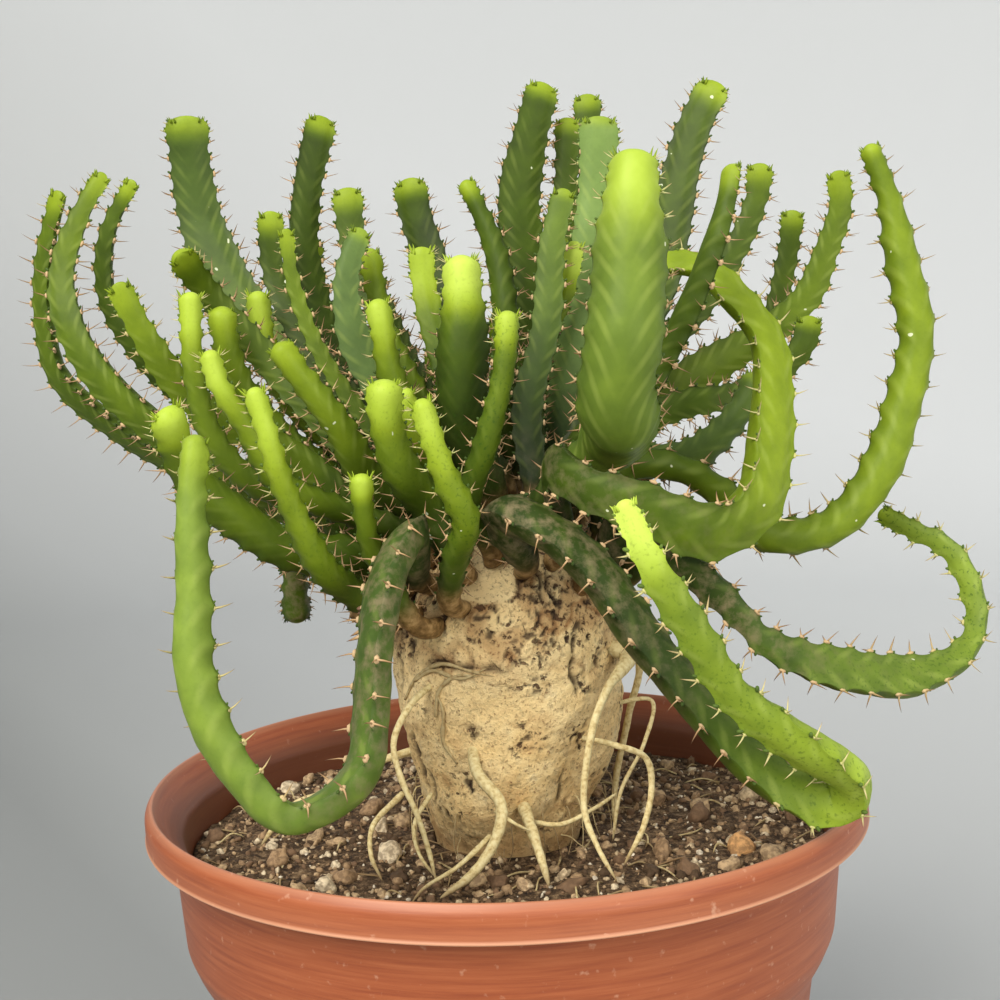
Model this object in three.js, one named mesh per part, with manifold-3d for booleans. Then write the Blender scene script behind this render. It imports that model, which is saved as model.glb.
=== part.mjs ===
import * as THREE from "three";
import { mergeVertices } from "three/addons/utils/BufferGeometryUtils.js";
import Module from "manifold-3d";

const wasm = await Module();
wasm.setup();

// A potted Euphorbia stellata in millimetres, +Z up, origin at the middle of the pot's underside.
// A flask-shaped caudex stands in gritty soil in a 14 cm pot. Flat, two-edged stems leave its crown
// on narrow necks, arch outwards and turn up, with a pair of spines on each tooth of both edges.

// Pot
const potHeight = 120;
const rimRadius = 70;
const rimInnerRadius = 67.4;
const lipHeight = 6.5;
const shoulderRadius = 65;
const stepTop = 93;
const stepTopRadius = 63.4;
const stepBottom = 84;
const bodyRadius = 59.3;
const footRadius = 49;
const wall = 2.4;
const floorThickness = 3;
const potSides = 40;
const drainCount = 4;
const drainRadius = 4;
const drainCircle = 32;

// Soil
const soilLevel = 107.4;
const soilRelief = 0.7;
const clearance = 0.3;

// Caudex
const crownCentre = new THREE.Vector3(1, 0, 146);
const crownRadius = 22.3;
const crownRise = 26;
const holeRadius = 14.6;
const holeBottom = 84;
const caudexSides = 24;

// Stems
const neckWidth = 4.4;
const neckLength = 14;
const toothSpacing = 12;
const toothHeight = 0.7;
const toothHalfLength = 0.6;
const firstTooth = 9;
const lastTooth = 2.6;
const spineLength = 3;
const seatSpacing = 5.9;
const sampleStep = 3.5;
const spreadRounds = 90;

// Each stem: seat on the crown as azimuth and angle from the top in degrees, width from neck to tip,
// twist of the flat side from neck to tip in degrees, girth where an old stem is thicker than most,
// whether its growth is young and bright, and the points that its middle passes through.
const stems = [
  // The fan to the left, from the outermost arc inwards
  { seat: [182, 50], width: [6, 6.4, 6, 3.6], twist: [-135, -135, -135, -115, -105], path: [[-48, 2, 178],
    [-64, 6, 183], [-76, 9, 190], [-87, 10, 201], [-89, 10, 210], [-89, 10, 219], [-87, 9, 228],
    [-83, 7, 238]] },
  { seat: [192, 60], width: [7.5, 7.5, 7.2, 6.4, 3], twist: [-135, -135, -125, -95, -75],
    path: [[-37, -6, 175], [-50, -8, 182], [-63, -8, 191], [-74, -6, 201], [-80, -4, 212], [-81, -2, 221],
    [-77, -1, 232], [-72, 0, 240]] },
  { seat: [172, 46], width: [6, 6.3, 5.6, 3], twist: [-135, -135, -120, -90, -80], path: [[-41, 8, 184],
    [-59, 12, 194], [-72, 16, 206], [-79, 20, 218], [-78, 20, 230], [-71, 18, 241]] },
  { seat: [196, 46], width: [6.5, 7, 6.5, 4.5], twist: [-100, -100], path: [[-39, -6, 184],
    [-49, -9, 190], [-57, -12, 197], [-63, -16, 208], [-67, -18, 218]] },
  { seat: [150, 44], width: [7.5, 10.2, 10.8, 9], twist: [-55, -55, -60, -55, -50], path: [[-32, 16, 190],
    [-44, 26, 204], [-56, 34, 220], [-62, 38, 233], [-64, 38, 247], [-64, 36, 257]] },
  { seat: [178, 36], width: [6, 6.5, 5.5], twist: [-80, -80], path: [[-34, 2, 190], [-47, 4, 206],
    [-54, 0, 216], [-57, -10, 223]] },
  { seat: [206, 52], width: [5.5, 5, 3.8], twist: [90, 90], young: true, path: [[-33, -14, 174],
    [-45, -18, 181], [-51, -20, 190], [-53, -21, 201], [-53, -20, 216]] },
  { seat: [170, 30], width: [6, 6.6, 5.2], twist: [90, 80], path: [[-38, 2, 186], [-47, 0, 197],
    [-50, -2, 206], [-51, -3, 215]] },
  { seat: [214, 44], width: [5.5, 5, 3.5], twist: [85, 70], young: true, path: [[-30, -22, 174],
    [-38, -28, 180], [-43, -31, 191], [-47, -32, 199], [-48, -32, 205]] },
  { seat: [222, 62], width: [6, 5.2, 3.2], twist: [70, 70, 50, 45, 45], young: true,
    path: [[-26, -26, 163], [-30, -34, 168], [-35, -41, 182], [-37, -43, 191], [-39, -43, 199]] },
  { seat: [158, 26], width: [5, 5.2, 4.6], twist: [90, 90], young: true, path: [[-34, 8, 187],
    [-43, 8, 198], [-46, 7, 209], [-46, 6, 217]] },
  { seat: [206, 32], width: [7, 7, 4.5], twist: [55, 55, 40, 45, 45], path: [[-23, -12, 178],
    [-28, -20, 190], [-35, -24, 201], [-38, -25, 206]] },
  { seat: [204, 70], width: [7, 8, 7.5, 6], twist: [75, 75, 115, 105, 95], young: true,
    path: [[-23, -18, 167], [-35, -25, 170], [-44, -30, 176], [-51, -36, 184], [-53, -44, 196]] },
  { seat: [160, 74], width: [6, 7, 6.2], twist: [0, 20], path: [[-35, 22, 171], [-43, 30, 164],
    [-45, 33, 152], [-45, 34, 144]] },
  // The old stem that hangs down at the front left and climbs again over the rim
  { seat: [226, 56], width: [6.5, 7.6, 7.6, 7.2, 6.6, 4], twist: [45, 45, 50, 105, 120], girth: 1.3,
    path: [[-15, -30, 174], [-19, -41, 167], [-21, -47, 156], [-22, -50, 145], [-23, -54, 138],
    [-27, -57, 134], [-34, -59, 132], [-39, -60, 137], [-44, -60, 145], [-47, -60, 155], [-47, -58, 167],
    [-47, -56, 181], [-46, -54, 192]] },
  // The middle
  { seat: [140, 32], width: [7, 7.6, 7.4, 6.4], twist: [-20, -20, -25, -20, -30], path: [[-22, 14, 190],
    [-34, 22, 207], [-39, 27, 223], [-38, 30, 239], [-34, 32, 255]] },
  { seat: [160, 16], width: [5.5, 6, 5.2], twist: [-80, -60], path: [[-24, 8, 190], [-38, 14, 207],
    [-44, 18, 221], [-44, 18, 234]] },
  { seat: [176, 20], width: [4, 4, 3], twist: [-75, -75], path: [[-22, 2, 188], [-33, 3, 204],
    [-38, 4, 218], [-39, 4, 229]] },
  { seat: [120, 44], width: [5, 5, 4], twist: [-55, -45], path: [[-24, 28, 187], [-34, 36, 207],
    [-38, 38, 221], [-38, 38, 230]] },
  { seat: [118, 24], width: [6, 7, 6], twist: [-60, -60], path: [[-13, 14, 190], [-22, 20, 210],
    [-28, 24, 227], [-29, 25, 239]] },
  { seat: [200, 14], width: [6, 7.6, 7, 4], twist: [-80, -80, -75, -75, -65], path: [[-17, -2, 188],
    [-26, 0, 203], [-28, 1, 214], [-27, 2, 221], [-24, 4, 228]] },
  { seat: [110, 10], width: [5, 5.4, 4.5], twist: [75, 75], path: [[-13, 6, 190], [-21, 8, 208],
    [-23, 10, 218], [-24, 10, 225]] },
  { seat: [218, 22], width: [5.2, 5.6, 4.4], twist: [85, 85], young: true, path: [[-14, -8, 187],
    [-19, -10, 200], [-20, -11, 208], [-21, -11, 214]] },
  { seat: [238, 46], width: [6.5, 7.2, 6], twist: [45, 45, 50, 40, 35], young: true,
    path: [[-12, -22, 172], [-17, -30, 181], [-19, -33, 190], [-19, -34, 198]] },
  { seat: [226, 68], width: [4, 4.2, 3.8], twist: [55, 45], young: true, path: [[-20, -28, 169],
    [-21, -31, 176], [-21, -33, 184]] },
  { seat: [98, 26], width: [8, 9.2, 8.6, 7], twist: [-55, -55], path: [[-4, 14, 189], [-9, 22, 209],
    [-12, 26, 222], [-15, 28, 233], [-16, 28, 241]] },
  { seat: [150, 6], width: [6, 6.2, 5], twist: [-55, -45], young: true, path: [[-5, 4, 190],
    [-11, 8, 208], [-13, 10, 218], [-13, 10, 225]] },
  { seat: [250, 22], width: [8, 9, 9.6, 6.4], twist: [40, 30], young: true, path: [[-5, -14, 184],
    [-6, -17, 194], [-5, -18, 209], [-5, -17, 221]] },
  { seat: [244, 62], width: [4.8, 5, 5, 3.8], twist: [10, 10, 10, 30, 30], young: true,
    path: [[-7, -33, 168], [-5, -38, 174], [-8, -41, 182], [-12, -43, 196]] },
  { seat: [262, 46], width: [5, 4.8, 4], twist: [40, 40, 20, 25, 20], young: true, path: [[-4, -24, 173],
    [0, -30, 187], [3, -31, 199], [4, -30, 210]] },
  { seat: [70, 12], width: [5.5, 6, 5.6, 3.6], twist: [0, -10], path: [[5, 0, 193], [5, 2, 209],
    [3, 4, 221], [0, 5, 229], [-4, 6, 237]] },
  { seat: [228, 34], width: [4.5, 4.5, 3.5], twist: [55, 55, 60, 50, 45], young: true,
    path: [[-10, -14, 181], [-14, -20, 189], [-15, -22, 198]] },
  // The tall stems right of the middle
  { seat: [52, 16], width: [8, 9.8, 10, 7], twist: [35, 35], path: [[11, 12, 193], [11, 18, 213],
    [8, 24, 233], [11, 26, 249], [14, 27, 259]] },
  { seat: [70, 30], width: [6, 6, 5.5], twist: [20, 20], path: [[10, 18, 193], [14, 24, 213],
    [16, 28, 234], [17, 30, 253]] },
  { seat: [60, 42], width: [6, 6.8, 6], twist: [20, 20], path: [[12, 26, 192], [18, 36, 214],
    [23, 42, 238], [23, 44, 260]] },
  { seat: [20, 22], width: [7, 8.8, 9, 8], twist: [65, 65], path: [[12, 8, 193], [18, 12, 213],
    [22, 15, 235], [23, 15, 250]] },
  { seat: [350, 10], width: [5.5, 6.4, 6.2, 4.5], twist: [40, 40], path: [[6, -2, 191], [10, 0, 207],
    [12, 1, 223], [15, 1, 234]] },
  { seat: [10, 8], width: [4, 4, 3.6], twist: [10, 10], young: true, path: [[9, 4, 197], [16, 5, 214],
    [18, 4, 224]] },
  // The broad stem that comes forward and shows its back
  { seat: [312, 30], width: [6, 7, 12.4, 13.2, 13, 11.6, 7], twist: [-50, -50, 0, -10, -10], young: true,
    path: [[17, -26, 181], [18, -41, 186], [18, -46, 192], [20, -49, 201], [22, -48, 214], [23, -47, 225],
    [24, -45, 234]] },
  // The right side
  { seat: [340, 26], width: [7.5, 9, 9, 7], twist: [45, 45], path: [[21, 4, 189], [33, 8, 214],
    [38, 10, 234], [42, 11, 246], [47, 11, 255]] },
  { seat: [316, 30], width: [6.5, 7.2, 7, 4.8], twist: [-140, -140], path: [[16, -16, 182],
    [26, -22, 189], [33, -25, 202], [39, -27, 217], [42, -27, 227], [43, -26, 234]] },
  { seat: [8, 26], width: [5.5, 6, 6, 5], twist: [45, 45, 55, 50, 45], path: [[19, 8, 189], [38, 13, 205],
    [50, 16, 221], [55, 17, 232], [56, 17, 240]] },
  { seat: [300, 48], width: [6.5, 7.6, 8.4, 10, 10.4, 8.6, 6.8, 5], twist: [60, 60, 50, 30, 10],
    girth: 1.1, path: [[11, -30, 184], [17, -36, 182], [24, -39, 179], [32, -39, 174], [38, -36, 172],
    [45, -33, 176], [48, -28, 184], [50, -22, 193], [50, -18, 203], [45, -15, 211], [39, -12, 217],
    [35, -10, 218], [29, -9, 217]] },
  { seat: [24, 42], width: [7, 9.4, 9.4, 7.6, 6, 5], twist: [70, 70, 80, 70, 70], path: [[23, 12, 188],
    [34, 16, 195], [45, 20, 200], [56, 22, 205], [66, 24, 212], [71, 25, 222], [74, 25, 231],
    [73, 24, 239]] },
  { seat: [35, 44], width: [5.5, 6, 5.8, 5], twist: [50, 50, 70, 55, 50], path: [[22, 24, 186],
    [43, 34, 195], [61, 40, 206], [66, 42, 220], [68, 42, 233]] },
  { seat: [352, 36], width: [6, 6.6, 6, 5], twist: [80, 80, 100, 95, 85], path: [[19, 2, 185],
    [35, 6, 192], [47, 9, 193], [57, 12, 197], [63, 12, 203], [64, 12, 209]] },
  { seat: [338, 46], width: [6.5, 7.2, 5.5], twist: [-85, -95], path: [[20, -8, 180], [37, -8, 183],
    [47, -6, 191], [51, -5, 198]] },
  { seat: [330, 58], width: [8, 7.4, 6, 7.4, 8.2, 7.6, 6.8, 3.4], twist: [-35, -35, -75, -90, -95],
    path: [[19, -18, 183], [31, -18, 182], [40, -17, 176], [47, -17, 169], [55, -15, 167], [64, -12, 169],
    [72, -11, 178], [77, -9, 190], [80, -8, 203], [78, -6, 217], [76, -5, 228], [72, -4, 240]] },
  { seat: [318, 60], width: [6.5, 7.2, 7.2, 4.8, 8.4, 8.6, 4.8, 4.6, 3.8], twist: [85, 85, 20, -30, -40],
    girth: 1.3, path: [[25, -27, 174], [32, -31, 166], [40, -31, 158], [46, -31, 151], [53, -29, 147],
    [61, -26, 144], [74, -20, 141], [85, -15, 143], [90, -11, 148], [90, -8, 155], [87, -4, 162],
    [82, 0, 165], [75, 4, 169]] },
  // The old stem that folds on the rim at the front right and comes back bright
  { seat: [282, 50], width: [7.5, 8, 8, 8, 8, 8.4, 7.6, 6.6, 6.2, 3.8], twist: [5, 5, 10, 125, 125],
    girth: 1.4, path: [[3, -28, 179], [11, -34, 176], [18, -37, 168], [25, -40, 155], [32, -42, 145],
    [40, -44, 135], [47, -46, 129], [54, -47, 126], [56, -50, 130], [51, -54, 135], [45, -56, 140],
    [36, -58, 148], [30, -60, 158], [23, -61, 170], [19, -60, 180]] },
  // The side turned away
  { seat: [128, 60], width: [7, 7, 5], twist: [0, 0], path: [[-15, 36, 171], [-29, 56, 184],
    [-37, 66, 200], [-34, 68, 212]] },
  { seat: [108, 66], width: [7, 7, 5], twist: [0, 0], path: [[-6, 40, 168], [-13, 60, 176],
    [-16, 72, 192], [-13, 74, 207]] },
  { seat: [88, 56], width: [7, 7, 5], twist: [0, 0], path: [[1, 36, 171], [1, 56, 183], [2, 62, 199],
    [2, 60, 213]] },
  { seat: [68, 66], width: [7, 7, 5], twist: [0, 0], path: [[7, 38, 168], [15, 60, 170], [21, 76, 181],
    [21, 80, 198]] },
  { seat: [45, 62], width: [7, 7, 5], twist: [0, 0], path: [[14, 30, 171], [24, 46, 176], [30, 56, 186],
    [29, 58, 203]] },
  { seat: [140, 70], width: [6, 6, 4.5], twist: [0, 0], path: [[-21, 30, 168], [-38, 46, 171],
    [-53, 58, 180], [-58, 62, 194]] },
];

// Aerial roots: radius at the start and the end, and the points that the root passes through
const roots = [
  { radius: [1.5, 0.7], path: [[14, -8, 146], [24, -10, 145], [19, -20, 140], [17, -24, 133],
    [16, -26, 120], [17, -29, 114], [20, -33, 109]] },
  { radius: [0.7, 0.6], path: [[14, -14, 130], [20, -20, 130], [26, -19, 127], [27, -19, 122],
    [25, -22, 115], [21, -25, 109]] },
  { radius: [0.8, 0.6], path: [[16, 2, 144], [27, 3, 141], [25, 2, 130], [22, 0, 118], [21, -1, 109]] },
  { radius: [1.4, 0.8], path: [[-6, -14, 132], [-5, -25, 127], [-1, -28, 122], [-2, -31, 117],
    [-6, -34, 112], [-12, -38, 109]] },
  { radius: [1.2, 0.8], path: [[2, -12, 120], [4, -23, 117], [6, -30, 112], [7, -34, 109]] },
  { radius: [0.8, 0.6], path: [[-10, -12, 143], [-17, -22, 139], [-20, -24, 133], [-19, -25, 127],
    [-16, -27, 120], [-14, -28, 113], [-13, -30, 109]] },
  { radius: [0.9, 0.6], path: [[-12, 0, 126], [-24, -4, 124], [-34, -6, 119], [-42, -6, 116],
    [-48, -8, 109]] },
];

const colours = {
  pot: 0xbe6a4b,
  soil: 0x4a3526,
  caudex: 0xd7be8c,
  oldStem: 0x4e7a2c,
  youngStem: 0x9acb3a,
};

function finish(colour, roughness) {
  return new THREE.MeshStandardMaterial({ color: colour, roughness, metalness: 0 });
}

function vector(point) {
  return new THREE.Vector3(point[0], point[1], point[2]);
}

// Value between the entries of a list that is spread evenly over 0 to 1
function along(list, fraction) {
  const place = THREE.MathUtils.clamp(fraction, 0, 1) * (list.length - 1);
  const step = Math.min(Math.floor(place), list.length - 2);
  return THREE.MathUtils.lerp(list[step], list[step + 1], place - step);
}

function meshGeometry(points, faces) {
  const geometry = new THREE.BufferGeometry();
  geometry.setAttribute("position", new THREE.Float32BufferAttribute(points.flat(), 3));
  geometry.setIndex(faces.flat());
  geometry.computeVertexNormals();
  return geometry;
}

function solid(geometry) {
  const bare = geometry.clone();
  bare.deleteAttribute("normal");
  bare.deleteAttribute("uv");
  const merged = mergeVertices(bare, 1e-4);
  return new wasm.Manifold(
    new wasm.Mesh({
      numProp: 3,
      vertProperties: merged.attributes.position.array,
      triVerts: new Uint32Array(merged.index.array),
    }),
  );
}

function geometryOf(body) {
  const mesh = body.getMesh();
  const geometry = new THREE.BufferGeometry();
  geometry.setAttribute("position", new THREE.BufferAttribute(new Float32Array(mesh.vertProperties), 3));
  geometry.setIndex(new THREE.BufferAttribute(new Uint32Array(mesh.triVerts), 1));
  geometry.computeVertexNormals();
  return geometry;
}

// Lathe profiles are drawn as radius and height and turned up so that the axis is Z.
function turned(profile, sides) {
  const outline = profile.map(([radius, height]) => new THREE.Vector2(radius, height));
  return new THREE.LatheGeometry(outline, sides).rotateX(Math.PI / 2);
}

// Inner radius of the pot at a height
function potInside(height) {
  const steps = [
    [floorThickness, footRadius - wall + 0.4],
    [stepBottom - 1, bodyRadius - wall],
    [stepTop, stepTopRadius - wall],
    [potHeight - lipHeight, shoulderRadius - wall + 0.2],
    [potHeight - 1, rimInnerRadius],
  ];
  const upper = Math.max(1, steps.findIndex(([level]) => level >= height));
  const [lowLevel, lowRadius] = steps[upper - 1];
  const [highLevel, highRadius] = steps[upper];
  return THREE.MathUtils.mapLinear(height, lowLevel, highLevel, lowRadius, highRadius);
}

function makePot() {
  const lipBottom = potHeight - lipHeight;
  const inside = [floorThickness, stepBottom - 1, stepTop, lipBottom, potHeight - 1];
  const profile = [
    [0, 0],
    [footRadius - 1.5, 0],
    [footRadius, 1.5],
    [bodyRadius, stepBottom],
    [bodyRadius + 0.8, stepBottom + 2],
    [stepTopRadius - 1.4, stepTop - 3.5],
    [stepTopRadius, stepTop],
    [shoulderRadius, lipBottom],
    [rimRadius - 0.8, lipBottom],
    [rimRadius, lipBottom + 1.5],
    [rimRadius, potHeight - 2],
    [rimRadius - 1, potHeight],
    [rimInnerRadius + 0.8, potHeight],
    ...inside.reverse().map((height) => [potInside(height), height]),
    [0, floorThickness],
  ];
  let body = solid(turned(profile, potSides));
  for (let hole = 0; hole < drainCount; hole += 1) {
    const turn = ((hole + 0.5) * 2 * Math.PI) / drainCount;
    const drain = new THREE.CylinderGeometry(drainRadius, drainRadius, 4 * floorThickness, 8);
    drain.rotateX(Math.PI / 2);
    drain.translate(drainCircle * Math.cos(turn), drainCircle * Math.sin(turn), 0);
    body = body.subtract(solid(drain));
  }
  return geometryOf(body);
}

// Radius of the caudex at a height, below the middle of its crown
function caudexRadius(height) {
  const steps = [
    [holeBottom + 1, 7],
    [95, 11.6],
    [soilLevel + 1, holeRadius],
    [115, 16.6],
    [125, 20],
    [135, 22],
    [crownCentre.z, crownRadius],
  ];
  const upper = Math.max(1, steps.findIndex(([level]) => level >= height));
  const [lowLevel, lowRadius] = steps[upper - 1];
  const [highLevel, highRadius] = steps[upper];
  return THREE.MathUtils.mapLinear(height, lowLevel, highLevel, lowRadius, highRadius);
}

// The soil fills the pot and leaves a plain hole for the foot of the caudex.
function makeSoil() {
  const rings = [holeRadius + clearance, 22, 31, 41, 51];
  const bottom = floorThickness + clearance;
  const points = [];
  const addRing = (radius, level, relief) => {
    for (let side = 0; side < potSides; side += 1) {
      const turn = (side * 2 * Math.PI) / potSides;
      const bump = Math.sin(turn * 7 + radius) * Math.cos(turn * 11 - radius * 0.7);
      points.push([radius * Math.cos(turn), radius * Math.sin(turn), level + relief * bump]);
    }
  };
  for (const level of [holeBottom, 95]) addRing(caudexRadius(level) + clearance + 0.3, level, 0);
  for (const radius of rings) addRing(radius, soilLevel, radius > holeRadius + 1 ? soilRelief : 0);
  for (const level of [soilLevel, stepTop, stepBottom - 1, bottom]) {
    addRing(potInside(level) - clearance, level, 0);
  }
  const ringCount = points.length / potSides;
  const faces = [];
  for (let ring = 0; ring < ringCount - 1; ring += 1) {
    for (let side = 0; side < potSides; side += 1) {
      const next = (side + 1) % potSides;
      const a = ring * potSides + side;
      const b = ring * potSides + next;
      faces.push([a, a + potSides, b + potSides], [a, b + potSides, b]);
    }
  }
  const holeMiddle = points.push([0, 0, holeBottom]) - 1;
  const floorMiddle = points.push([0, 0, bottom]) - 1;
  const lastRing = (ringCount - 1) * potSides;
  for (let side = 0; side < potSides; side += 1) {
    const next = (side + 1) % potSides;
    faces.push([holeMiddle, side, next], [floorMiddle, lastRing + next, lastRing + side]);
  }
  return meshGeometry(points, faces);
}

// A round root with a smooth taper and blunt ends
function makeRoot({ radius, path }) {
  const sides = 5;
  const curve = new THREE.CatmullRomCurve3(path.map(vector));
  const steps = path.length * 2;
  const frames = curve.computeFrenetFrames(steps, false);
  const points = [];
  const faces = [];
  for (let step = 0; step <= steps; step += 1) {
    const middle = curve.getPointAt(step / steps);
    const size = along(radius, step / steps);
    for (let side = 0; side < sides; side += 1) {
      const turn = (side * 2 * Math.PI) / sides;
      const point = middle.clone();
      point.addScaledVector(frames.normals[step], size * Math.cos(turn));
      point.addScaledVector(frames.binormals[step], size * Math.sin(turn));
      points.push(point.toArray());
    }
  }
  for (let step = 0; step < steps; step += 1) {
    for (let side = 0; side < sides; side += 1) {
      const next = (side + 1) % sides;
      const a = step * sides + side;
      const b = step * sides + next;
      faces.push([a, b, b + sides], [a, b + sides, a + sides]);
    }
  }
  for (let side = 1; side < sides - 1; side += 1) {
    const last = steps * sides;
    faces.push([0, side + 1, side], [last, last + side, last + side + 1]);
  }
  return solid(meshGeometry(points, faces));
}

// The caudex swells above the soil, with shallow lobes that fade out at the crown and in the hole.
function makeCaudex() {
  const levels = [holeBottom + 1, 95, soilLevel, 112, 118, 125, 132, 139, crownCentre.z];
  const domeAngles = [75, 60, 46, 32, 17];
  const points = [];
  for (const level of levels) {
    for (let side = 0; side < caudexSides; side += 1) {
      const turn = (side * 2 * Math.PI) / caudexSides;
      const fade = THREE.MathUtils.smoothstep(level, 109, 120) *
        (1 - THREE.MathUtils.smoothstep(level, 136, crownCentre.z));
      const lobe = Math.sin(turn * 3 + level / 9) + 0.7 * Math.cos(turn * 5 - level / 7);
      const foot = 3 * Math.exp(-(((level - 117) / 6) ** 2) - ((turn - 4.2) / 0.5) ** 2);
      const radius = caudexRadius(level) + fade * 0.7 * lobe + foot;
      const shift = crownCentre.x * THREE.MathUtils.smoothstep(level, 109, 125);
      points.push([radius * Math.cos(turn) + shift, radius * Math.sin(turn), level]);
    }
  }
  for (const angle of domeAngles) {
    for (let side = 0; side < caudexSides; side += 1) {
      const turn = (side * 360) / caudexSides;
      points.push(crownPoint(turn, angle, 0).toArray());
    }
  }
  const ringCount = points.length / caudexSides;
  const faces = [];
  for (let ring = 0; ring < ringCount - 1; ring += 1) {
    for (let side = 0; side < caudexSides; side += 1) {
      const next = (side + 1) % caudexSides;
      const a = ring * caudexSides + side;
      const b = ring * caudexSides + next;
      faces.push([a, b, b + caudexSides], [a, b + caudexSides, a + caudexSides]);
    }
  }
  const foot = points.push([0, 0, holeBottom + 1]) - 1;
  const top = points.push(crownPoint(0, 0, 0).toArray()) - 1;
  const lastRing = (ringCount - 1) * caudexSides;
  for (let side = 0; side < caudexSides; side += 1) {
    const next = (side + 1) % caudexSides;
    faces.push([foot, next, side], [top, lastRing + side, lastRing + next]);
  }
  let body = solid(meshGeometry(points, faces));
  for (const root of roots) body = body.add(makeRoot(root));
  return geometryOf(body);
}

function crownNormal(azimuth, angle) {
  const turn = THREE.MathUtils.degToRad(azimuth);
  const lean = THREE.MathUtils.degToRad(angle);
  return new THREE.Vector3(
    (Math.sin(lean) * Math.cos(turn)) / crownRadius,
    (Math.sin(lean) * Math.sin(turn)) / crownRadius,
    Math.cos(lean) / crownRise,
  ).normalize();
}

// Point on the crown, or a gap above it
function crownPoint(azimuth, angle, gap) {
  const turn = THREE.MathUtils.degToRad(azimuth);
  const lean = THREE.MathUtils.degToRad(angle);
  const point = new THREE.Vector3(
    crownRadius * Math.sin(lean) * Math.cos(turn),
    crownRadius * Math.sin(lean) * Math.sin(turn),
    crownRise * Math.cos(lean),
  );
  return point.add(crownCentre).addScaledVector(crownNormal(azimuth, angle), gap);
}

// Seats that are closer than the spacing slide apart over the crown.
function spreadSeats() {
  const places = stems.map(({ seat }) => crownPoint(seat[0], seat[1], 0).sub(crownCentre));
  for (let round = 0; round < 200; round += 1) {
    for (let first = 0; first < places.length; first += 1) {
      for (let second = first + 1; second < places.length; second += 1) {
        const apart = places[first].clone().sub(places[second]);
        const short = seatSpacing - apart.length();
        if (short <= 0) continue;
        apart.setLength(short * 0.3);
        places[first].add(apart);
        places[second].sub(apart);
      }
    }
    for (const place of places) {
      place.z = Math.max(place.z, crownRise * 0.16);
      const stretch = new THREE.Vector3(place.x / crownRadius, place.y / crownRadius, place.z / crownRise);
      place.divideScalar(stretch.length());
    }
  }
  return places.map((place) => {
    const azimuth = THREE.MathUtils.radToDeg(Math.atan2(place.y, place.x));
    const angle = THREE.MathUtils.radToDeg(Math.acos(THREE.MathUtils.clamp(place.z / crownRise, -1, 1)));
    return [azimuth, angle];
  });
}

function stemWidth(stem, distance, length) {
  const grown = THREE.MathUtils.smoothstep(distance, 1, neckLength);
  return THREE.MathUtils.lerp(neckWidth, along(stem.width, distance / length), grown);
}

// Room that a stem needs round its middle at a sample
function roomAround(stem, distance, length) {
  return stemWidth(stem, distance, length) * 0.5 + (distance > neckLength ? 0.6 : 0.15);
}

// The nearest point of the pot's rim
function rimPoint(point) {
  const middle = (rimRadius + rimInnerRadius) / 2;
  const scale = middle / Math.hypot(point.x, point.y);
  return new THREE.Vector3(point.x * scale, point.y * scale, potHeight - 2);
}

// Crowded stems lean apart: samples of their middles push each other until they are clear.
function spreadStems(lines) {
  for (let round = 0; round < spreadRounds; round += 1) {
    const pushes = lines.map((line) => line.points.map(() => new THREE.Vector3()));
    for (let first = 0; first < lines.length; first += 1) {
      for (let second = first + 1; second < lines.length; second += 1) {
        const one = lines[first];
        const other = lines[second];
        one.points.forEach((here, i) => {
          other.points.forEach((there, j) => {
            const need = one.room[i] + other.room[j] + clearance;
            const apart = here.clone().sub(there);
            const short = need - apart.length();
            if (short <= 0) return;
            apart.setLength(short * 0.5);
            pushes[first][i].add(apart);
            pushes[second][j].sub(apart);
          });
        });
      }
    }
    lines.forEach((line, index) => {
      line.points.forEach((point, i) => {
        const fromRim = point.clone().sub(rimPoint(point));
        const rimShort = line.room[i] + 2.6 + clearance - fromRim.length();
        if (rimShort > 0) pushes[index][i].add(fromRim.setLength(rimShort));
        const low = Math.min(point.z - crownCentre.z, 0);
        const fromCrown = point.clone().sub(crownCentre);
        fromCrown.z = (fromCrown.z - low) * (crownRadius / crownRise);
        const crownShort = crownRadius + line.room[i] + clearance + 0.5 - fromCrown.length();
        if (crownShort > 0) pushes[index][i].add(fromCrown.setLength(crownShort));
      });
      const moved = line.points.map((point, i) => {
        return point.clone().sub(line.rest[i]).addScaledVector(pushes[index][i], line.freedom[i]);
      });
      line.points.forEach((point, i) => {
        const before = moved[Math.max(i - 1, 0)];
        const after = moved[Math.min(i + 1, moved.length - 1)];
        const eased = moved[i].clone().multiplyScalar(2).add(before).add(after).divideScalar(4);
        point.copy(line.rest[i]).addScaledVector(eased, line.freedom[i] > 0 ? 1 : 0);
      });
    });
  }
}

function stemLines() {
  const seats = spreadSeats();
  const lines = stems.map((stem, index) => {
    const [azimuth, angle] = seats[index];
    const foot = crownPoint(azimuth, angle, clearance);
    const neck = crownPoint(azimuth, angle, clearance + 5);
    const curve = new THREE.CatmullRomCurve3([foot, neck, ...stem.path.map(vector)], false, "centripetal");
    const length = curve.getLength();
    const count = Math.ceil(length / sampleStep);
    const points = curve.getSpacedPoints(count);
    const distances = points.map((point, i) => (i * length) / count);
    return {
      normal: crownNormal(azimuth, angle),
      points,
      rest: points.map((point) => point.clone()),
      room: distances.map((distance) => roomAround(stem, distance, length)),
      freedom: distances.map((distance) => THREE.MathUtils.smoothstep(distance, 2, neckLength)),
    };
  });
  spreadStems(lines);
  return lines;
}

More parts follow.
